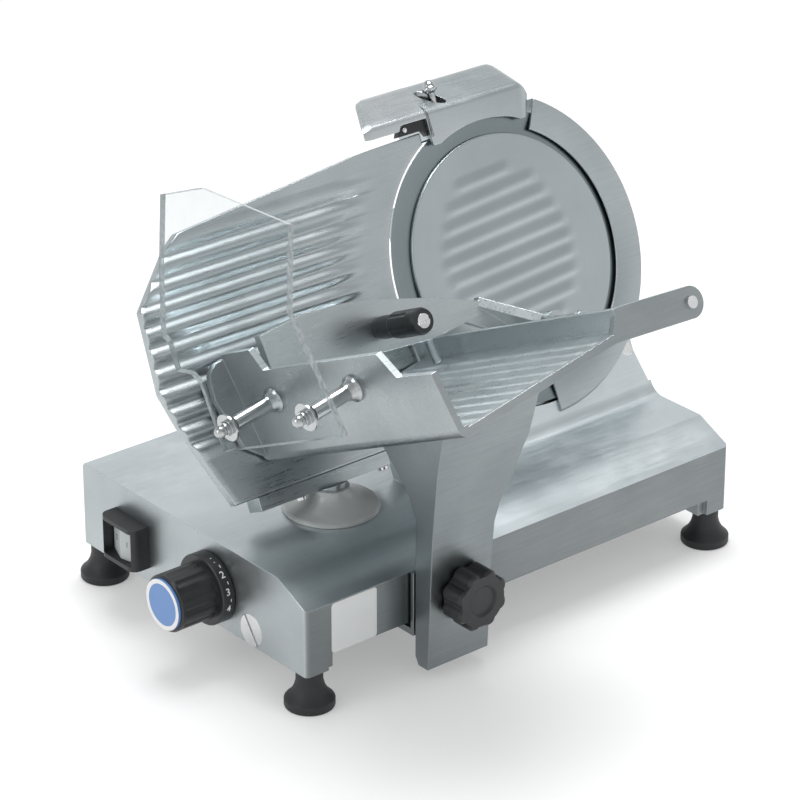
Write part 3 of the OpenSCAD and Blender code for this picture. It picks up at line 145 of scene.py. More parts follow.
# A material or world that is built node by node
class Finish:
    def __init__(self, owner):
        owner.use_nodes = True
        self.owner = owner
        self.tree = owner.node_tree
        self.tree.nodes.clear()

    # Adds any node: its settings first, then the values or wires of its sockets
    def add(self, kind, settings=None, inputs=None, output=0):
        node = self.tree.nodes.new(kind)
        for key, value in (settings or {}).items():
            setattr(node, key, value)
        for key, value in (inputs or {}).items():
            if isinstance(value, Wire):
                self.tree.links.new(value.socket, node.inputs[key])
            else:
                node.inputs[key].default_value = value
        return Wire(self, node.outputs[output]) if node.outputs else None

    def blend(self, factor, first, second):
        first = first if isinstance(first, Wire) else (*first, 1)
        second = second if isinstance(second, Wire) else (*second, 1)
        return self.add("ShaderNodeMix", {"data_type": "RGBA"}, {0: factor, 6: first, 7: second}, 2)

    def ramp(self, value, low, high, bottom=0.0, top=1.0):
        return self.add("ShaderNodeMapRange", {"clamp": True}, {0: value, 1: low, 2: high, 3: bottom, 4: top})

    # A surface point's own place, stretched and turned
    def place(self, scale=(1, 1, 1), turn=(0, 0, 0)):
        spot = self.add("ShaderNodeTexCoord", output="Object")
        turned = tuple(math.radians(a) for a in turn)
        return self.add("ShaderNodeMapping", {"vector_type": "POINT"}, {0: spot, 2: turned, 3: scale})

    def noise(self, scale, detail=3.0, stretch=(1, 1, 1), turn=(0, 0, 0), rough=0.55):
        values = {"Vector": self.place(stretch, turn), "Scale": scale, "Detail": detail, "Roughness": rough}
        return self.add("ShaderNodeTexNoise", {}, values)

    # 0 on open faces, 1 along edges that hands and cloths rub; and the normal rounded over the edges
    def edges(self, width):
        soft = self.add("ShaderNodeBevel", {"samples": rubbed["samples"]}, {"Radius": width * mm})
        flat = self.add("ShaderNodeNewGeometry", output="Normal")
        facing = self.add("ShaderNodeVectorMath", {"operation": "DOT_PRODUCT"}, {0: soft, 1: flat}, "Value")
        return self.ramp(facing, rubbed["open"], rubbed["worn"]), soft

    def bump(self, strength, distance, height, normal=None):
        values = {"Strength": strength, "Distance": distance, "Height": height}
        if normal:
            values["Normal"] = normal
        return self.add("ShaderNodeBump", {}, values)

    def principled(self, values):
        return self.add("ShaderNodeBsdfPrincipled", {}, values)

    # 1 on rays that show the studio itself: from the camera, mirrored, or through the clear sheet
    def seen(self):
        kinds = ("Is Camera Ray", "Is Glossy Ray", "Is Transmission Ray")
        direct, mirrored, through = [self.add("ShaderNodeLightPath", output=kind) for kind in kinds]
        return direct + mirrored + through

    def close(self, shader, kind="ShaderNodeOutputMaterial"):
        self.add(kind, {}, {"Surface": shader})
        return self.owner


def newFinish(name):
    return Finish(bpy.data.materials.new(name))


def toned(colour, factor):
    return tuple(c * factor for c in colour)


# Metals

aluminium = {
    "colour": (0.40, 0.44, 0.455), "pale": (0.5, 0.54, 0.552), "rough": 0.34,
    "grain": 900, "grainDepth": 0.05,
}


# Satin metal with a grain drawn out along one direction, which turn gives in degrees.
# Painted shade and light: faces that look to the front are dimmed by the sides factor, a painted shade,
# and faces that look up are brightened by the top factor, a painted light; a face counts as looking up
# between the two heights of its normal in lifted.
def satinMetal(name, colour, pale, rough, grain, grainDepth, turn=(0, 0, 0), along=0.03, pits=0.25, edge=0.8,
               sides=1.0, tops=1.0, lifted=(0.1, 0.4)):
    f = newFinish(name)
    wear, soft = f.edges(edge)
    streaks = f.noise(grain, 2.0, (along, 1, 1), turn)
    cloud = f.noise(9, 4.0)
    cast = f.noise(1500, 2.0)
    handled = f.noise(38, 5.0, rough=0.7)
    tone = f.blend(f.ramp(cloud, 0.3, 0.72), colour, pale)
    tone = f.blend(f.ramp(streaks, 0.35, 0.75, 0, 0.22), tone, toned(colour, 0.8))
    tone = f.blend(wear * 0.55, tone, tuple(min(c * 1.35, 0.9) for c in pale))
    # painted shade on faces that look to the front and painted light on faces that look up, from the normal's
    # direction
    if sides != tops:
        facing = f.add("ShaderNodeNewGeometry", output="Normal")
        lift = f.ramp(f.add("ShaderNodeSeparateXYZ", {}, {0: facing}, "Z"), *lifted)
        front = f.ramp(f.add("ShaderNodeSeparateXYZ", {}, {0: facing}, "Y"), -0.3, -0.8)
        share = 1 - front * (1 - lift) * (1 - sides) + lift * (tops - 1)
        tone = f.add("ShaderNodeVectorMath", {"operation": "SCALE"}, {0: tone, "Scale": share}, "Vector")
    polish = f.ramp(streaks, 0.3, 0.7, rough - 0.05, rough + 0.07) + f.ramp(handled, 0.45, 0.7, 0, 0.06)
    relief = f.bump(grainDepth * 4, 0.00012, streaks * 0.6 + cast * pits, soft)
    return f.close(f.principled({
        "Base Color": tone, "Metallic": 1.0, "Roughness": polish - wear * 0.08, "Normal": relief,
    }))


# The aluminium with some of its settings changed
def likeAluminium(name, **changes):
    return satinMetal(name, **{**aluminium, **changes})


# Metal finished on a lathe or grinder, with rings round the blade's axis
def turnedMetal(name, colour, rough, rings, depth, edge=0.4):
    f = newFinish(name)
    wear, soft = f.edges(edge)
    spot = f.add("ShaderNodeTexCoord", output="Object")
    arm = f.add("ShaderNodeVectorMath", {"operation": "SUBTRACT"}, {0: spot, 1: tuple(bladeCentre)}, "Vector")
    reach = f.add("ShaderNodeVectorMath", {"operation": "LENGTH"}, {0: arm}, "Value")
    settings = {"noise_dimensions": "1D"}
    lines = f.add("ShaderNodeTexNoise", settings, {"W": reach * rings, "Scale": 1.0, "Detail": 2.0})
    cloud = f.noise(14, 4.0)
    tone = f.blend(f.ramp(cloud, 0.3, 0.7), colour, toned(colour, 1.12))
    tone = f.blend(f.ramp(lines, 0.35, 0.7, 0, 0.3), tone, toned(colour, 0.78))
    tone = f.blend(wear * 0.5, tone, (0.86, 0.88, 0.89))
    return f.close(f.principled({
        "Base Color": tone, "Metallic": 1.0, "Roughness": f.ramp(lines, 0.3, 0.7, rough, rough + 0.08),
        "Normal": f.bump(depth, 0.00008, lines, soft),
    }))


def brightMetal(name, colour=(0.74, 0.75, 0.76), rough=0.14, edge=0.3):
    f = newFinish(name)
    wear, soft = f.edges(edge)
    scuffs = f.noise(60, 6.0, rough=0.75)
    fine = f.noise(2600, 2.0)
    tone = f.blend(f.ramp(scuffs, 0.4, 0.7), colour, toned(colour, 0.86))
    tone = f.blend(wear * 0.6, tone, (0.9, 0.9, 0.9))
    return f.close(f.principled({
        "Base Color": tone, "Metallic": 1.0, "Roughness": f.ramp(scuffs, 0.35, 0.75, rough, rough + 0.12),
        "Normal": f.bump(0.06, 0.00005, fine, soft),
    }))


# Plastics, rubber, paint and stone

def mouldedPlastic(name, colour, worn, rough, texture=0.15, edge=0.5, coat=0.0):
    f = newFinish(name)
    wear, soft = f.edges(edge)
    skin = f.noise(1700, 3.0)
    cloud = f.noise(30, 4.0)
    tone = f.blend(f.ramp(cloud, 0.35, 0.75, 0, 0.5), colour, worn)
    tone = f.blend(wear * 0.5, tone, worn)
    return f.close(f.principled({
        "Base Color": tone, "Roughness": f.ramp(cloud, 0.3, 0.7, rough - 0.04, rough + 0.08),
        "Normal": f.bump(texture, 0.0001, skin, soft), "Coat Weight": coat,
    }))


def clearSheet(name):
    f = newFinish(name)
    wear, soft = f.edges(0.35)
    haze = f.noise(35, 5.0, rough=0.7)
    rough = f.ramp(haze, 0.4, 0.75, 0.1, 0.2)
    veil = f.principled({"Base Color": (0.5, 0.53, 0.54, 1), "Roughness": rough, "Normal": soft})
    through = f.add("ShaderNodeBsdfTransparent", {}, {"Color": (0.925, 0.94, 0.945, 1)})
    share = f.ramp(haze, 0.4, 0.75, 0.04, 0.1) + wear * 0.25
    return f.close(f.add("ShaderNodeMixShader", {}, {0: share, 1: through, 2: veil}))


# The sawn and polished rim of the clear sheet, where the light that runs in it comes out
def clearRim(name):
    f = newFinish(name)
    saw = f.noise(420, 3.0, (1, 1, 0.1))
    tone = f.blend(f.ramp(saw, 0.35, 0.7), (0.3, 0.33, 0.34), (0.46, 0.5, 0.51))
    rim = f.principled({"Base Color": tone, "Roughness": 0.18, "Normal": f.bump(0.15, 0.0001, saw)})
    through = f.add("ShaderNodeBsdfTransparent", {}, {"Color": (0.8, 0.83, 0.84, 1)})
    share = f.ramp(saw, 0.3, 0.7, 0.75, 0.95)
    return f.close(f.add("ShaderNodeMixShader", {}, {0: share, 1: through, 2: rim}))


def stoneGrit(name, colour):
    f = newFinish(name)
    specks = f.add("ShaderNodeTexVoronoi", {}, {"Vector": f.place(), "Scale": 2600})
    tone = f.blend(f.ramp(specks, 0.1, 0.6), toned(colour, 0.6), colour)
    relief = f.bump(0.7, 0.0003, specks)
    return f.close(f.principled({"Base Color": tone, "Roughness": 0.92, "Normal": relief}))


finishes = {
    # castBase and castTray are dimmed on faces that look to the front and brightened on faces that look up, a
    # painted shade and a painted light; the tray's darker colour is part of that painted shade
    "castBase": likeAluminium("satin_cast_base", sides=0.5, tops=1.4),
    "castTray": likeAluminium(
        "satin_cast_tray", colour=(0.32, 0.352, 0.364), pale=(0.43, 0.464, 0.474), rough=0.3, turn=(0, 0, 65),
        sides=0.9, tops=2.0, lifted=(0.5, 0.8),
    ),
    "castGauge": likeAluminium("satin_cast_gauge", pale=(0.5, 0.54, 0.553), rough=0.29),
    # The arm's aluminium is a darker copy of the cast aluminium: painted shade
    "paintedShadeArm": likeAluminium(
        "satin_arm_painted_shade", colour=(0.22, 0.245, 0.255), pale=(0.3, 0.33, 0.34), turn=(0, 80, 0),
    ),
    # The tray's far wall face: a much paler aluminium than the tray, a painted light
    "paintedLightFence": satinMetal(
        "fence_painted_light", (0.74, 0.78, 0.79), (0.84, 0.87, 0.88), 0.3, 600, 0.04, (0, 0, 65),
    ),
    "castPress": likeAluminium(
        "polished_press", colour=(0.42, 0.46, 0.47), rough=0.3, grainDepth=0.012, turn=(0, 0, 40), pits=0.1,
    ),
    "castHood": likeAluminium("satin_hood", colour=(0.44, 0.485, 0.5), pale=(0.54, 0.58, 0.595), rough=0.28),
    "castWing": likeAluminium("satin_wing", colour=(0.5, 0.54, 0.555), pale=(0.62, 0.655, 0.665), rough=0.26),
    "turnedCover": turnedMetal("satin_blade_cover", (0.41, 0.455, 0.47), 0.3, 2600, 0.06),
    "guardRing": likeAluminium("satin_guard_ring", pale=(0.48, 0.52, 0.535), rough=0.36),
    "bladeSteel": turnedMetal("ground_blade_steel", (0.23, 0.27, 0.28), 0.24, 5200, 0.2),
    "machined": likeAluminium("machined_aluminium", rough=0.3, grain=1500, turn=(0, 90, 0)),
    "sheet": satinMetal(
        "rolled_steel_sheet", (0.46, 0.47, 0.48), (0.55, 0.56, 0.57), 0.32, 1300, 0.04, (0, 0, 90),
    ),
    "bright": brightMetal("bright_steel"),
    "polished": brightMetal("polished_steel", (0.52, 0.54, 0.545), 0.1),
    "chrome": brightMetal("chromed_screw", (0.78, 0.78, 0.78), 0.12),
    "bronze": satinMetal("bush_bronze", (0.44, 0.27, 0.12), (0.55, 0.36, 0.17), 0.3, 900, 0.05),
    "black": mouldedPlastic("black_moulded_plastic", (0.012, 0.013, 0.015), (0.035, 0.037, 0.04), 0.34, 0.12),
    "blackSatin": mouldedPlastic(
        "black_satin_plastic", (0.014, 0.015, 0.017), (0.04, 0.042, 0.045), 0.42, 0.2,
    ),
    "rubber": mouldedPlastic("foot_rubber", (0.013, 0.014, 0.016), (0.03, 0.031, 0.033), 0.52, 0.35),
    "belt": mouldedPlastic("belt_rubber", (0.016, 0.016, 0.016), (0.04, 0.04, 0.04), 0.7, 0.5),
    "rocker": mouldedPlastic("grey_rocker", (0.42, 0.45, 0.46), (0.5, 0.53, 0.54), 0.36, 0.1),
    "white": mouldedPlastic("white_plastic", (0.78, 0.8, 0.8), (0.7, 0.72, 0.72), 0.3, 0.08, coat=0.2),
    # The collar's plastic is a darker copy of white_plastic: painted shade
    "shadedWhite": mouldedPlastic("white_plastic_painted_shade", (0.52, 0.54, 0.54), (0.46, 0.48, 0.48), 0.3, 0.08, coat=0.2),
    "blue": mouldedPlastic("blue_disc", (0.09, 0.22, 0.5), (0.12, 0.26, 0.55), 0.3, 0.05, coat=0.3),
    "plate": mouldedPlastic("bare_pale_plate", (0.74, 0.76, 0.76), (0.66, 0.68, 0.68), 0.35, 0.05),
    "ink": mouldedPlastic("white_ink", (0.8, 0.8, 0.8), (0.7, 0.7, 0.7), 0.5, 0.05, 0.1),
    "darkInk": mouldedPlastic("dark_ink", (0.03, 0.03, 0.035), (0.05, 0.05, 0.055), 0.5, 0.05, 0.1),
    "motor": mouldedPlastic("motor_paint", (0.05, 0.06, 0.065), (0.09, 0.1, 0.11), 0.45, 0.3),
    "clear": clearSheet("clear_guard"),
    "clearEdge": clearRim("clear_guard_rim"),
    "truing": stoneGrit("truing_grit", (0.62, 0.52, 0.4)),
    "grinding": stoneGrit("grinding_grit", (0.5, 0.3, 0.27)),
}
print("finishes made:", len(finishes))

# Which finish each CAD node wears, and the width in mm by which its edges are broken (0: smoothed only)
wears = {
    "base_housing": ("castBase", 1.0), "rubber_feet": ("rubber", 0.8), "foot_studs": ("bright", 0),
    "bottom_cover": ("sheet", 0), "rear_cover": ("castBase", 0.5), "cover_screws": ("chrome", 0),
    "motor_body": ("motor", 0), "motor_capacitor": ("black", 0), "motor_pulley": ("machined", 0),
    "drive_belt": ("belt", 0), "blade_pulley": ("machined", 0), "spindle_bearings": ("bright", 0),
    "blade_spindle": ("bright", 0), "blade": ("bladeSteel", 0), "blade_screws": ("chrome", 0),
    "blade_cover": ("turnedCover", 0), "cover_tie_rod": ("bright", 0), "cover_lock_knob": ("black", 0.6),
    "slice_deflector": ("sheet", 0), "wall_screws": ("chrome", 0), "guide_rod": ("bright", 0),
    "guide_rod_plugs": ("bright", 0.4), "support_rail": ("bright", 0), "gauge_guide_rods": ("bright", 0),
    "cable_gland": ("black", 0.5), "switch_housing": ("blackSatin", 0.8), "switch_rocker": ("rocker", 0.4),
    "dial_knob": ("black", 0.5), "dial_disc": ("blue", 0), "dial_cam": ("machined", 0),
    "gauge_plate": ("castGauge", 0.8), "gauge_bar": ("castGauge", 0.8), "gauge_screws": ("chrome", 0.3),
    "gauge_post": ("machined", 0), "post_collar": ("shadedWhite", 0), "gauge_slider": ("castBase", 0),
    "carriage_slider": ("paintedShadeArm", 0.5), "slider_bushes": ("bronze", 0), "carriage_roller": ("white", 0),
    "carriage_bracket": ("paintedShadeArm", 0.8), "arm_spacer": ("black", 0), "carriage_arm": ("paintedShadeArm", 1.2),
    "arm_knob": ("black", 1.0), "arm_knob_stud": ("bright", 0), "carriage_tray": ("castTray", 0.9),
    "guard_standoffs": ("polished", 0.3), "guard_screws": ("polished", 0.2), "hand_guard": ("clear", 0.4),
    "press_rod": ("bright", 0), "press_bush": ("machined", 0.4), "press_casting": ("castPress", 2.6),
    "press_grip": ("black", 0.4), "grip_screw": ("chrome", 0.2), "press_spikes": ("bright", 0),
    "sharpener_hood": ("castHood", 0.9), "sharpener_wing": ("castHood", 0.8), "sharpener_post": ("bright", 0),
    "truing_stone": ("truing", 0), "grinding_stone": ("grinding", 0), "sharpener_pin": ("polished", 0.3),
}


# Gives a piece its body and finish
def settle(piece, body, finish):
    piece.data.materials.clear()
    piece.data.materials.append(finishes[finish])
    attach(piece, body)
    return piece


def newPiece(name, mesh):
    piece = bpy.data.objects.new(name, mesh)
    bpy.context.scene.collection.objects.link(piece)
    return piece


# A new piece on the same body as a CAD node
def pieceLike(node, name, mesh, finish):
    return settle(newPiece(name, mesh), bodyOf[node], finish)


# A piece's mesh as its modifiers leave it
def shapedMesh(piece):
    bpy.context.view_layer.update()
    return bpy.data.meshes.new_from_object(piece.evaluated_get(bpy.context.evaluated_depsgraph_get()))


# Applies a piece's modifiers to its mesh
def applyModifiers(piece):
    mesh = shapedMesh(piece)
    piece.modifiers.clear()
    piece.data = mesh


def smoothMesh(mesh, angle=32):
    mesh.polygons.foreach_set("use_smooth", [True] * len(mesh.polygons))
    mesh.set_sharp_from_angle(angle=math.radians(angle))


# Turns a shape that is being built into a mesh
def meshOf(name, shape):
    mesh = bpy.data.meshes.new(name)
    shape.to_mesh(mesh)
    shape.free()
    return mesh


# The same for a closed skin, whose faces are turned outward first
def skinOf(name, shape):
    bmesh.ops.recalc_face_normals(shape, faces=shape.faces)
    return meshOf(name, shape)


# Faces between two rows of vertices that each run round a section
def bridge(shape, one, two):
    count = len(one)
    for k in range(count):
        m = (k + 1) % count
        shape.faces.new((one[k], one[m], two[m], two[k]))


# Joins a row of equal sections into one closed skin
def loft(name, sections):
    shape = bmesh.new()
    rows = [[shape.verts.new(point) for point in section] for section in sections]
    for one, two in zip(rows, rows[1:]):
        bridge(shape, one, two)
    shape.faces.new(rows[0])
    shape.faces.new(rows[-1][::-1])
    bmesh.ops.triangulate(shape, faces=[face for face in shape.faces if len(face.verts) > 4])
    return skinOf(name, shape)


sheetFaces = {"bent": 0.95, "level": 0.995, "smallest": 20}
fence = {"facing": -0.95, "from": 150}
dressing = {"weld": 0.01, "flat": 0.6, "segments": 2, "sharp": 34, "faceWeight": 80}


# Gives the narrow faces round a bent clear sheet the finish of a sawn edge
def markCutEdges(mesh):
    mesh.materials.append(finishes["clearEdge"])
    first = max(mesh.polygons, key=lambda face: face.area).normal.copy()
    bent = [face for face in mesh.polygons if abs(face.normal.dot(first)) < sheetFaces["bent"]]
    second = max(bent, key=lambda face: face.area).normal.copy()
    for face in mesh.polygons:
        level = max(abs(face.normal.dot(way)) for way in (first, second)) > sheetFaces["level"]
        large = face.area > sheetFaces["smallest"] * mm ** 2
        face.material_index = 0 if level and large else 1


# The face of the tray's far wall which looks back along the tray; it gets a much paler aluminium, a painted
# light
def markFence(mesh):
    mesh.materials.append(finishes["paintedLightFence"])
    beyond = machinePoint(fence["from"], 0, 0).x
    for face in mesh.polygons:
        if face.normal.x < fence["facing"] and face.center.x > beyond:
            face.material_index = 1


marked = {"hand_guard": markCutEdges, "carriage_tray": markFence}


# A cleaned copy of a CAD node with broken edges, which stands for the node
def dress(name, finish, width):
    shape = bmesh.new()
    shape.from_mesh(nodes[name].data)
    bmesh.ops.remove_doubles(shape, verts=shape.verts, dist=dressing["weld"] * mm)
    flat = math.radians(dressing["flat"])
    bmesh.ops.dissolve_limit(shape, angle_limit=flat, verts=shape.verts, edges=shape.edges)
    piece = newPiece(name + "_dressed", meshOf(name + "_dressed", shape))
    if width:
        bevel = piece.modifiers.new("broken edges", "BEVEL")
        bevel.width = width * mm
        bevel.segments = dressing["segments"]
        bevel.limit_method = "ANGLE"
        bevel.angle_limit = math.radians(dressing["sharp"])
        bevel.miter_outer = "MITER_ARC"
        bevel.use_clamp_overlap = True
        applyModifiers(piece)
    smoothMesh(piece.data)
    weighted = piece.modifiers.new("flat faces stay flat", "WEIGHTED_NORMAL")
    weighted.keep_sharp = True
    weighted.weight = dressing["faceWeight"]
    applyModifiers(piece)
    settle(piece, bodyOf[name], finish)
    if name in marked:
        marked[name](piece.data)
    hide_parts(name)


# Nodes inside or under the machine only get a finish; the ones in modelled are made further down
hidden = {"bottom_cover", "motor_body", "motor_capacitor", "motor_pulley", "drive_belt", "blade_pulley",
          "spindle_bearings", "slider_bushes", "gauge_slider", "dial_cam", "gauge_guide_rods", "blade_screws"}
modelled = {"gauge_plate", "blade_cover", "sharpener_hood", "sharpener_wing", "sharpener_pin"}
for name, (finish, width) in wears.items():
    if name in modelled:
        continue
    if name in hidden:
        nodes[name].data.materials.clear()
        nodes[name].data.materials.append(finishes[finish])
    else:
        dress(name, finish, width)
print("nodes dressed:", len(wears) - len(hidden) - len(modelled))

# Gauge plate: one skin whose front rolls in waves that fade before the blade

gauge = {
    "left": -24.3, "low": 33.5, "length": 311.5, "height": 238.5, "thick": 7, "round": 1.4, "bladeGap": 126.3,
    "outline": [(0.122, 0), (0.836, 0), (0.836, 0.3), (1, 0.8), (1, 1), (0.787, 0.992), (0.668, 0.977),
                (0.177, 0.918), (0.136, 0.883), (0.011, 0.707), (0, 0.428), (0.026, 0.311)],
    "firstRib": 83.6, "ribPitch": 16.3, "ribCount": 11, "crest": 1.4, "valley": -2.4,
    "fadeStart": 150, "fadeLength": 44, "blunt": 0.75, "pointed": 1.6,
    "rows": 260, "columns": 46, "edgeSteps": [0, 0.12, 0.4, 0.8, 1.4], "edgeShare": 0.3, "topGap": 0.02,
    "smooth": 40,
}


# The outline's left and right ends at a height up the slope
def gaugeSpan(up):
    left, low = gauge["left"], gauge["low"]
    corners = [(left + a * gauge["length"], low + b * gauge["height"]) for a, b in gauge["outline"]]
    crossings = []
    for (x0, u0), (x1, u1) in zip(corners, corners[1:] + corners[:1]):
        if u0 != u1 and min(u0, u1) <= up <= max(u0, u1):
            crossings.append(x0 + (x1 - x0) * (up - u0) / (u1 - u0))
    right = max(crossings)
    off = up - slope["bladeUp"]
    if abs(off) < gauge["bladeGap"]:
        right = min(right, slope["bladeX"] - math.sqrt(gauge["bladeGap"] ** 2 - off ** 2))
    return min(crossings), right


# How far the front stands out at a place on the plate
def gaugeWave(x, up):
    last = gauge["ribCount"] - 1
    step = (up - gauge["firstRib"]) / gauge["ribPitch"]
    nearest = min(max(round(step), 0), last)
    away = step - nearest
    if abs(away) > 0.5:
        return 0
    centre = gauge["firstRib"] + nearest * gauge["ribPitch"]
    off = min(abs(centre - slope["bladeUp"]), gauge["fadeStart"] - 1)
    end = slope["bladeX"] - math.sqrt(gauge["fadeStart"] ** 2 - off ** 2)
    # each crest narrows to a point as it dies away, so the waves end like brush strokes
    strength = ease((end - x) / gauge["fadeLength"])
    crest = 0.5 + 0.5 * math.cos(2 * math.pi * away)
    crest = crest ** (gauge["blunt"] + gauge["pointed"] * (1 - strength))
    beyond = ease((abs(step - last / 2) - last / 2) * 2)
    return strength * (crest * (gauge["crest"] - gauge["valley"]) + gauge["valley"] * (1 - beyond))


# The places of one row's points, closer together at its two rounded ends
def gaugeRow(up):
    left, right = gaugeSpan(up)
    width = right - left
    edges = gauge["edgeSteps"]
    reach = min(edges[-1], width * gauge["edgeShare"])
    near = [left + e / edges[-1] * reach for e in edges]
    far = [right - e / edges[-1] * reach for e in reversed(edges)]
    columns = gauge["columns"]
    middle = [left + reach + (width - 2 * reach) * i / columns for i in range(1, columns)]
    return near + middle + far


def modelGauge():
    roundness, count = gauge["round"], gauge["rows"]
    low, high = gauge["low"], gauge["low"] + gauge["height"] - gauge["topGap"]
    rows = [low + e for e in gauge["edgeSteps"]]
    rows += [low + roundness + (high - low - 2 * roundness) * i / count for i in range(1, count)]
    rows += [high - e for e in reversed(gauge["edgeSteps"])]
    shape = bmesh.new()
    front, back = [], []
    for up in rows:
        line = gaugeRow(up)
        frontRow, backRow = [], []
        for x in line:
            drop = edgeDrop(min(x - line[0], line[-1] - x, up - low, high - up), roundness)
            frontRow.append(shape.verts.new(bladePlane(x, up, gaugeWave(x, up) - drop)))
            backRow.append(shape.verts.new(bladePlane(x, up, -gauge["thick"])))
        front.append(frontRow)
        back.append(backRow)
    across, along = len(front[0]), len(rows)
    for r in range(along - 1):
        for c in range(across - 1):
            shape.faces.new((front[r][c], front[r][c + 1], front[r + 1][c + 1], front[r + 1][c]))
            shape.faces.new((back[r][c], back[r + 1][c], back[r + 1][c + 1], back[r][c + 1]))
        shape.faces.new((front[r][0], front[r + 1][0], back[r + 1][0], back[r][0]))
        shape.faces.new((front[r][-1], back[r][-1], back[r + 1][-1], front[r + 1][-1]))
    for c in range(across - 1):
        shape.faces.new((front[0][c], back[0][c], back[0][c + 1], front[0][c + 1]))
        shape.faces.new((front[-1][c], front[-1][c + 1], back[-1][c + 1], back[-1][c]))
    mesh = skinOf("gauge_plate_skin", shape)
    smoothMesh(mesh, gauge["smooth"])
    skin = pieceLike("gauge_plate", "gauge_plate_skin", mesh, "castGauge")
    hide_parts("gauge_plate")


modelGauge()
print("gauge plate modelled")

# Blade cover: a disc whose face carries pressed strokes, each ending like a brush stroke

cover = {
    "radius": 104.5, "back": -1.6, "front": 1.2, "round": 1.2, "crest": 1.9, "steep": 2.4, "gentle": 12,
    "fade": 15, "step": 1.1, "spokes": 300, "edgeShares": (1, 0.6, 0.3, 0.1, 0), "smooth": 40,
    "strokes": [((-46, 64.5), (27, 69.3)), ((-60, 48), (51, 56.6)), ((-69, 33), (59, 42.3)),
                ((-75, 18.4), (65, 28)), ((-79.6, 4), (70.4, 13.6)), ((-78, -10), (73.6, -0.4)),
                ((-74, -24.6), (71.3, -14.6)), ((-64, -38.6), (69, -29.3)), ((-50, -52), (61.8, -44)),
                ((-30, -65), (46, -59))],
}


# Height of the pressed strokes: each falls steeply below its line and gently above it
def coverWave(a, b):
    steep, gentle = cover["steep"], cover["gentle"]
    height = 0
    for start, end in cover["strokes"]:
        run = Vector(end) - Vector(start)
        length = run.length
        run /= length
        along = (a - start[0]) * run.x + (b - start[1]) * run.y
        away = (b - start[1]) * run.x - (a - start[0]) * run.y
        if not -steep < away < gentle or not 0 < along < length:
            continue
        if away < steep:
            crest = ease((away + steep) / (2 * steep))
        else:
            crest = 1 - ease((away - steep) / (gentle - steep))
        strength = ease(along / cover["fade"]) * ease((length - along) / cover["fade"])
        height = max(height, strength * crest * cover["crest"])
    return height


def modelCover():
    radius, roundness, spokes = cover["radius"], cover["round"], cover["spokes"]
    reaches = [i * cover["step"] for i in range(1, int((radius - roundness) / cover["step"]) + 1)]
    reaches += [radius - roundness * share for share in cover["edgeShares"]]
    shape = bmesh.new()
    rings = []
    for reach in reaches:
        face = cover["front"] - edgeDrop(radius - reach, roundness)
        points = [onBlade(a, b, face + coverWave(a, b)) for a, b in circle(reach, spokes)]
        rings.append([shape.verts.new(point) for point in points])
    rings.append([shape.verts.new(onBlade(a, b, cover["back"])) for a, b in circle(radius, spokes)])
    middle = shape.verts.new(onBlade(0, 0, cover["front"] + coverWave(0, 0)))
    for i in range(spokes):
        shape.faces.new((middle, rings[0][i], rings[0][(i + 1) % spokes]))
    for inner, outer in zip(rings, rings[1:]):
        bridge(shape, inner, outer)
    shape.faces.new(rings[-1][::-1])
    mesh = skinOf("blade_cover_skin", shape)
    smoothMesh(mesh, cover["smooth"])
    disc = pieceLike("blade_cover", "blade_cover_skin", mesh, "turnedCover")
    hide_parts("blade_cover")


modelCover()
print("blade cover modelled")

# Sharpener: a thin-walled hood with a rounded far end, and the bright wing that laps over its near end

# shoulder is measured from the front and the ridge, roof's heights from the top, and ceiling in walls
hood = {
    "left": 293.4, "right": 405.7, "endRound": 11, "front": 6, "ridge": 288.5, "top": 311, "back": -38,
    "wall": 3, "lipRadius": 117.3, "lipEnd": 398, "lowest": 259, "backLow": 262, "nearLow": 266,
    "lean": 0.42, "leanFrom": 276, "leanRun": 26,
    "shoulder": [(0, -5), (-0.25, -3.2), (-1.1, -1.3), (-2.8, 0.6), (-6, 2.9)],
    "roof": [(-24, -3.6), (-27, -1.7), (-30, -0.5), (-34, -0.3), (-36.5, -1.2), (-38, -3.4)],
    "ceiling": {"back": 1.6, "middle": 1.8, "front": 1.5}, "middle": -27,
    "stations": 40, "endTurns": (12, 24, 36, 48, 60, 70, 80, 90), "smooth": 38,
    "farWall": (2.6, 0.02), "nearWall": (-0.3, 3),
}
wing = {
    "left": 227, "leftBack": 258, "seam": 293, "seamBack": 307, "front": 6, "low": 278, "back": -34,
    "proud": 0.35, "roofFrom": 290, "inner": [(-33, 307.5), (-26, 305.4), (3, 284.5), (3.8, 278)],
    "overhang": 3, "slant": 0.9, "bow": 4, "bowRight": 0.6, "sections": 26, "smooth": 60,
    "soften": 1.6, "softenEnd": 9, "softenUnder": 0.4, "softenFront": 0.5,
    "notch": 4.6, "notchFrom": 262, "notchRun": 4,
}


# The hood's outer line from the front's lower edge over the roof to the back's lower edge
def hoodLine(drop, low, grow=0.0):
    front = hood["front"] - drop * 0.5 + grow
    ridge = hood["ridge"] - drop + grow
    top = hood["top"] - drop + grow
    shoulder = [(front + out, ridge + up) for out, up in hood["shoulder"]]
    roof = [(out, top + up) for out, up in hood["roof"]]
    return [(front, low), *shoulder, *roof, (hood["back"], hood["backLow"])]


# The line inside the walls, from the back's lower edge to the front's
def hoodInner(drop, low):
    wall, ceiling = hood["wall"], hood["ceiling"]
    front = hood["front"] - drop * 0.5 - wall
    back = hood["back"] + wall
    top = hood["top"] - drop
    return [
        (back, hood["backLow"]), (back, top - wall * ceiling["back"]),
        (hood["middle"], top - wall * ceiling["middle"]),
        (front, hood["ridge"] - drop - wall * ceiling["front"]), (front, low),
    ]


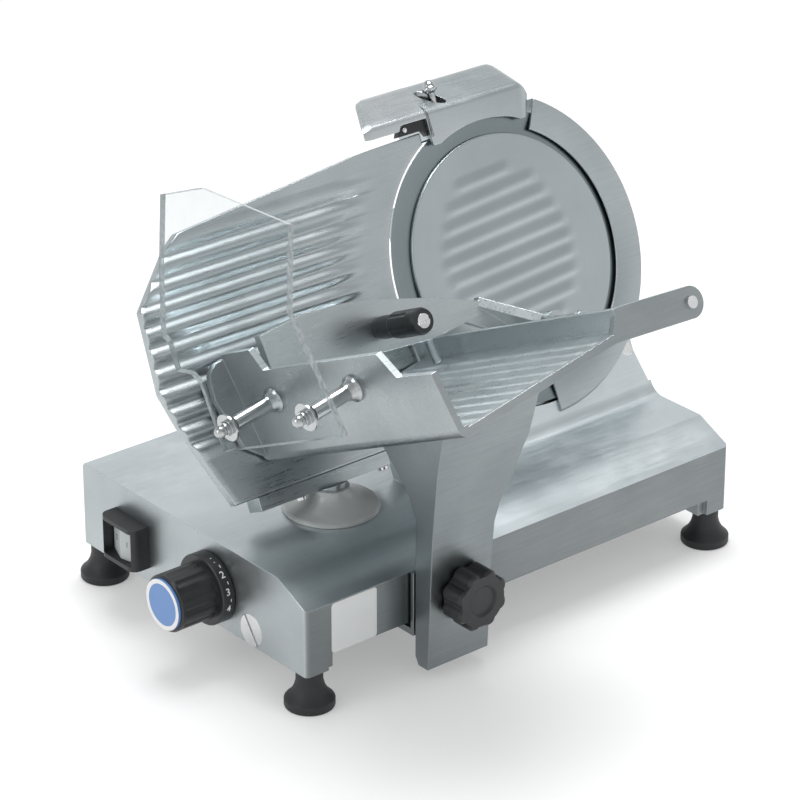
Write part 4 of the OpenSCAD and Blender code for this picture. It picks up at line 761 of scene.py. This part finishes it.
# A place on the hood, whose far end leans in below leanFrom
def hoodPlace(x, point):
    out, up = point
    share = ease((x - hood["right"] + hood["leanRun"]) / hood["leanRun"])
    return bladePlane(x - hood["lean"] * max(hood["leanFrom"] - up, 0) * share, up, out)


# The oblong pocket in the hood's roof, in which the domed pin stands
pocket = {
    "x": 314, "out": -9.5, "long": 13, "short": 6.2, "way": (8.1, 11.8), "low": 284, "high": 318, "sides": 48,
}


def cutPocket(piece):
    way = Vector(pocket["way"]).normalized()
    rings = []
    for up in (pocket["low"], pocket["high"]):
        ring = []
        for cosine, sine in circle(1, pocket["sides"]):
            a, b = pocket["long"] * cosine, pocket["short"] * sine
            x, out = pocket["x"] + a * way.x - b * way.y, pocket["out"] + a * way.y + b * way.x
            ring.append(bladePlane(x, up, out))
        rings.append(ring)
    cutter = newPiece("pocket_cutter", loft("pocket_cutter", rings))
    cut = piece.modifiers.new("pocket", "BOOLEAN")
    cut.operation = "DIFFERENCE"
    cut.solver = "EXACT"
    cut.object = cutter
    applyModifiers(piece)
    bpy.data.objects.remove(cutter)


# The shell gets its pocket first; the walls that close its two ends are joined to it after that
def modelHood():
    left, right, endRound, count = hood["left"], hood["right"], hood["endRound"], hood["stations"]
    stations = [left + (right - endRound - left) * i / count for i in range(count + 1)]
    stations += [right - endRound * (1 - math.sin(math.radians(a))) for a in hood["endTurns"]]
    sections = []
    for x in stations:
        drop = edgeDrop(right - x, endRound)
        away = min(x, hood["lipEnd"]) - slope["bladeX"]
        low = max(slope["bladeUp"] + math.sqrt(hood["lipRadius"] ** 2 - away ** 2), hood["lowest"])
        sections.append([hoodPlace(x, point) for point in hoodLine(drop, low) + hoodInner(drop, low)])
    piece = newPiece("sharpener_hood_skin", loft("hood_shell", sections))
    farWall = [[hoodPlace(right - away, point) for point in hoodLine(drop, low)] for away in hood["farWall"]]
    nearLine = hoodLine(0, hood["nearLow"])
    nearWall = [[hoodPlace(left + away, point) for point in nearLine] for away in hood["nearWall"]]
    cutPocket(piece)
    joined = bmesh.new()
    for part in (piece.data, loft("hood_far_wall", farWall), loft("hood_near_wall", nearWall)):
        joined.from_mesh(part)
    piece.data = meshOf("sharpener_hood_skin", joined)
    smoothMesh(piece.data, hood["smooth"])
    settle(piece, bodyOf["sharpener_hood"], "castHood")
    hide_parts("sharpener_hood")


# The wing follows the hood's line a little outside it; its near end slants, bows and softens
def modelWing():
    front, back, low = wing["front"], wing["back"], wing["low"]
    section = [
        (out, up) for out, up in hoodLine(0, low, wing["proud"])
        if (up > wing["roofFrom"] or out > 0) and out > back - wing["overhang"]
    ]
    section += wing["inner"]
    sections = []
    for i in range(wing["sections"] + 1):
        share = i / wing["sections"]
        soften = wing["soften"] * (1 - ease(share * wing["softenEnd"]))
        ring = []
        for out, up in section:
            depth = max((front - out) / (front - back), 0)
            bow = wing["bow"] * math.sin(math.pi * min(depth, 1))
            left = wing["left"] + (wing["leftBack"] - wing["left"]) * depth ** wing["slant"] - bow
            right = wing["seam"] + (wing["seamBack"] - wing["seam"]) * ease(depth) + bow * wing["bowRight"]
            x = left + (right - left) * share
            rise = -soften
            if up == low:
                notch = ease((x - wing["notchFrom"]) / wing["notchRun"])
                rise = soften * wing["softenUnder"] + notch * wing["notch"]
            inward = soften * wing["softenFront"] if out > 0 else 0
            ring.append(bladePlane(x, up + rise, out - inward))
        sections.append(ring)
    mesh = loft("sharpener_wing_skin", sections)
    smoothMesh(mesh, wing["smooth"])
    piece = pieceLike("sharpener_wing", "sharpener_wing_skin", mesh, "castWing")
    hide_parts("sharpener_wing")


pin = {
    "x": 315, "out": -8, "sides": 40, "smooth": 50,
    "profile": [(3.2, 290), (3.2, 300.2), (4.4, 301.6), (6.3, 303.2), (6.6, 304.6), (6.5, 305.5),
                (6.0, 306.2), (5.5, 306.6), (5.3, 307.6), (4.6, 309.3), (3.2, 310.9), (1.6, 311.8),
                (0.2, 312)],
}


def modelPin():
    rings = []
    for reach, up in pin["profile"]:
        rings.append([bladePlane(pin["x"] + a, up, pin["out"] + b) for a, b in circle(reach, pin["sides"])])
    mesh = loft("sharpener_pin_turned", rings)
    smoothMesh(mesh, pin["smooth"])
    piece = pieceLike("sharpener_pin", "sharpener_pin_turned", mesh, "polished")
    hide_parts("sharpener_pin")


clip = {
    "corners": [(262, 273.6), (288.6, 273.6), (292.2, 268), (292.6, 282.6), (267, 282.6)],
    "depths": (-3.2, 2.6), "smooth": 30,
    "screwX": 270.5, "screwUp": 278, "sides": 24, "screwSmooth": 40,
    "screwProfile": [(1.0, 2.6), (2.3, 2.7), (2.3, 3.4), (1.9, 3.9), (0.9, 4.2), (0.2, 4.25)],
}


# The black clip and its screw in the corner under the wing
def modelClip():
    body = bodyOf["sharpener_wing"]
    sections = [[bladePlane(x, up, out) for x, up in clip["corners"]] for out in clip["depths"]]
    mesh = loft("sharpener_clip", sections)
    smoothMesh(mesh, clip["smooth"])
    settle(newPiece("sharpener_clip", mesh), body, "black")
    rings = []
    for reach, out in clip["screwProfile"]:
        points = circle(reach, clip["sides"])
        rings.append([bladePlane(clip["screwX"] + a, clip["screwUp"] + b, out) for a, b in points])
    head = loft("sharpener_clip_screw", rings)
    smoothMesh(head, clip["screwSmooth"])
    settle(newPiece("sharpener_clip_screw", head), body, "chrome")


modelHood()
modelWing()
modelClip()
modelPin()
print("sharpener modelled")

# Guard lip: the part of the housing's ring that stands in front of the blade's edge, away from the food

lip = {
    "outline": [(110.2, 0.7), (110.4, 1.6), (111.8, 2.6), (135.6, 2.6), (137, 2.2), (137.6, 1), (137.6, -1.5),
                (129.1, -1.5), (129.1, 0.7)],
    "from": 62, "to": -88, "sections": 150, "smooth": 50,
}


def modelGuardLip():
    sections = []
    for i in range(lip["sections"] + 1):
        turn = math.radians(lip["from"] + (lip["to"] - lip["from"]) * i / lip["sections"])
        cosine, sine = math.cos(turn), math.sin(turn)
        sections.append([onBlade(reach * cosine, reach * sine, out) for reach, out in lip["outline"]])
    mesh = loft("guard_lip", sections)
    smoothMesh(mesh, lip["smooth"])
    pieceLike("base_housing", "guard_lip", mesh, "guardRing")


modelGuardLip()
print("guard lip modelled")

# Printed marks: dial numbers, the dial's ring, rocker signs and the bare plate on the base

marks = {
    "lift": 0.06, "dialY": 120, "dialZ": 33, "skirtRadius": 30, "digits": 4, "digitSize": 8.4,
    "digitMiddle": -6.4, "firstAngle": 18, "digitStep": 28.3, "tickLength": 2.6, "tickWidth": 0.75,
    "tickMiddle": -4.4, "bold": 0.012, "curveSteps": 4,
    "signSize": 6.5, "signs": (("O", 0.24), ("I", -0.24)), "lookFrom": 10,
}
dialRing = {"inner": 17.8, "outer": 21.5, "face": -50, "thick": 0.04, "spokes": 96, "smooth": 40}
plate = {"left": 25, "right": 70.5, "low": 14, "high": 58, "corner": 3, "steps": 6, "depths": (-0.25, 0.2)}


# The flat mesh of a short word, as a list of points and faces in millimetres
def wordShape(text, size):
    letters = bpy.data.curves.new("letters", "FONT")
    letters.body = text
    letters.size = size
    letters.align_x = "CENTER"
    letters.align_y = "CENTER"
    letters.offset = size * marks["bold"]
    letters.resolution_u = marks["curveSteps"]
    word = newPiece("letters", letters)
    flat = shapedMesh(word)
    bpy.data.objects.remove(word)
    return [tuple(v.co) for v in flat.vertices], [tuple(p.vertices) for p in flat.polygons]


def bar(width, height):
    w, h = width / 2, height / 2
    return [(-w, -h, 0), (w, -h, 0), (w, h, 0), (-w, h, 0)], [(0, 1, 2, 3)]


# Joins flat shapes into one piece; put turns a shape's point into a place
def markPiece(node, name, shapes, finish):
    points, faces = [], []
    for (shapePoints, shapeFaces), put in shapes:
        start = len(points)
        points += [put(a, b) for a, b, c in shapePoints]
        faces += [tuple(start + i for i in face) for face in shapeFaces]
    mesh = bpy.data.meshes.new(name)
    mesh.from_pydata(points, [], faces)
    mesh.update()
    pieceLike(node, name, mesh, finish)


# A place on the skirt: the numbers stand on its round, read towards the panel, their heads to the top
def onSkirt(angle, along):
    reach = marks["skirtRadius"] + marks["lift"]

    def put(across, up):
        turn = math.radians(angle) - up / reach
        y = marks["dialY"] - reach * math.sin(turn)
        return machinePoint(along + across, y, marks["dialZ"] + reach * math.cos(turn))

    return put


def modelDialMarks():
    shapes = []
    tick = bar(marks["tickWidth"], marks["tickLength"])
    for i in range(marks["digits"]):
        angle = marks["firstAngle"] + i * marks["digitStep"]
        shapes.append((wordShape(str(i + 1), marks["digitSize"]), onSkirt(angle, marks["digitMiddle"])))
        if i < marks["digits"] - 1:
            shapes.append((tick, onSkirt(angle + marks["digitStep"] / 2, marks["tickMiddle"])))
    markPiece("dial_knob", "dial_numbers", shapes, "ink")


# The white ring on the dial's end
def modelDialRing():
    inner, outer, face = dialRing["inner"], dialRing["outer"], dialRing["face"]
    proud = face - dialRing["thick"]
    shape = bmesh.new()
    rows = []
    for cosine, sine in circle(1, dialRing["spokes"]):
        row = []
        for reach, x in ((inner, face), (inner, proud), (outer, proud), (outer, face)):
            place = machinePoint(x, marks["dialY"] + reach * cosine, marks["dialZ"] + reach * sine)
            row.append(shape.verts.new(place))
        rows.append(row)
    for one, two in zip(rows, rows[1:] + rows[:1]):
        bridge(shape, one, two)
    mesh = skinOf("dial_white_ring", shape)
    smoothMesh(mesh, dialRing["smooth"])
    pieceLike("dial_disc", "dial_white_ring", mesh, "ink")


# The rocker's signs, laid on its face by looking at it from the front
def modelRockerSigns():
    shape = bmesh.new()
    shape.from_mesh(nodes["switch_rocker"].data)
    tree = bvhtree.BVHTree.FromBMesh(shape)
    low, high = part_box("switch_rocker")
    middle = (Vector(low) + Vector(high)) / 2
    width = high[1] - low[1]
    before = low[0] - marks["lookFrom"] * mm
    ahead = Vector((1, 0, 0))
    shapes = []
    for text, share in marks["signs"]:
        def put(across, up, share=share):
            # seen from the front, the back edge is on the left
            start = Vector((before, middle[1] + width * share - across * mm, middle[2] + up * mm))
            spot = tree.ray_cast(start, ahead)[0]
            return (spot or start) - ahead * marks["lift"] * mm
        shapes.append((wordShape(text, marks["signSize"]), put))
    shape.free()
    markPiece("switch_rocker", "rocker_signs", shapes, "darkInk")


# A bare plate with rounded corners, where the photographed machine carries a sign
def modelPlate():
    corner = plate["corner"]
    left, right = plate["left"] + corner, plate["right"] - corner
    low, high = plate["low"] + corner, plate["high"] - corner
    rim = []
    for x, z, start in ((right, high, 0), (left, high, 90), (left, low, 180), (right, low, 270)):
        for i in range(plate["steps"] + 1):
            turn = math.radians(start + i * 90 / plate["steps"])
            rim.append((x + corner * math.cos(turn), z + corner * math.sin(turn)))
    mesh = loft("bare_plate", [[machinePoint(x, y, z) for x, z in rim] for y in plate["depths"]])
    pieceLike("base_housing", "bare_plate", mesh, "plate")


modelDialMarks()
modelDialRing()
modelRockerSigns()
modelPlate()
print("marks printed")

# Studio

studio = {
    "floorSize": 14.0, "floorColour": (0.93, 0.93, 0.93), "floorGlow": 0.3, "fillDiffuse": 0.68,
    "horizon": (1.0, 1.0, 1.0), "zenith": (0.5, 0.51, 0.52), "skyLow": 0.06, "skyHigh": 0.75,
}
lamps = {
    "key_lamp": {"place": (0.25, 0.3, 2.0), "target": (0, 0, 0.1), "size": (1.0, 1.0), "power": 31},
    "left_lamp": {"place": (-2.0, 0.2, 1.2), "target": (0, 0, 0.15), "size": (0.8, 1.2), "power": 7},
}
view = {"place": (-1.7146, -2.0066, 1.4410), "turn": (64.33, 0, -39.75), "lens": 161.8, "sensor": 36}


def studioFloor():
    mesh = bpy.data.meshes.new("floor")
    points, faces = bar(studio["floorSize"], studio["floorSize"])
    mesh.from_pydata(points, [], faces)
    floor = newPiece("studio_floor", mesh)
    f = newFinish("studio_floor")
    paper = f.add("ShaderNodeBsdfDiffuse", {}, {"Color": (*studio["floorColour"], 1)})
    glow = f.add("ShaderNodeEmission", {}, {"Color": (1, 1, 1, 1), "Strength": 1.0})
    share = f.seen() * studio["floorGlow"]
    mesh.materials.append(f.close(f.add("ShaderNodeMixShader", {}, {0: share, 1: paper, 2: glow})))


def studioWorld():
    world = bpy.data.worlds.new("studio")
    bpy.context.scene.world = world
    f = Finish(world)
    way = f.add("ShaderNodeTexCoord", output="Generated")
    height = f.add("ShaderNodeSeparateXYZ", {}, {0: way}, "Z")
    sky = f.blend(f.ramp(height, studio["skyLow"], studio["skyHigh"]), studio["horizon"], studio["zenith"])
    shown = f.add("ShaderNodeBackground", {}, {"Color": sky, "Strength": 1.0})
    soft = f.add("ShaderNodeBackground", {}, {"Color": (1, 1, 1, 1), "Strength": studio["fillDiffuse"]})
    f.close(f.add("ShaderNodeMixShader", {}, {0: f.seen(), 1: soft, 2: shown}), "ShaderNodeOutputWorld")


def softLamp(name, lamp):
    light = bpy.data.lights.new(name, "AREA")
    light.shape = "RECTANGLE"
    light.size, light.size_y = lamp["size"]
    light.energy = lamp["power"]
    holder = newPiece(name, light)
    holder.location = lamp["place"]
    aim = Vector(lamp["target"]) - Vector(lamp["place"])
    holder.rotation_euler = aim.to_track_quat("-Z", "Y").to_euler()


def aimCamera():
    camera = bpy.data.cameras.new("camera")
    camera.lens = view["lens"]
    camera.sensor_width = view["sensor"]
    holder = newPiece("camera", camera)
    holder.location = view["place"]
    holder.rotation_euler = Euler([math.radians(a) for a in view["turn"]])
    bpy.context.scene.camera = holder


studioFloor()
studioWorld()
for name, lamp in lamps.items():
    softLamp(name, lamp)
print("studio lit")

aimCamera()
bpy.context.scene.view_settings.view_transform = "Standard"
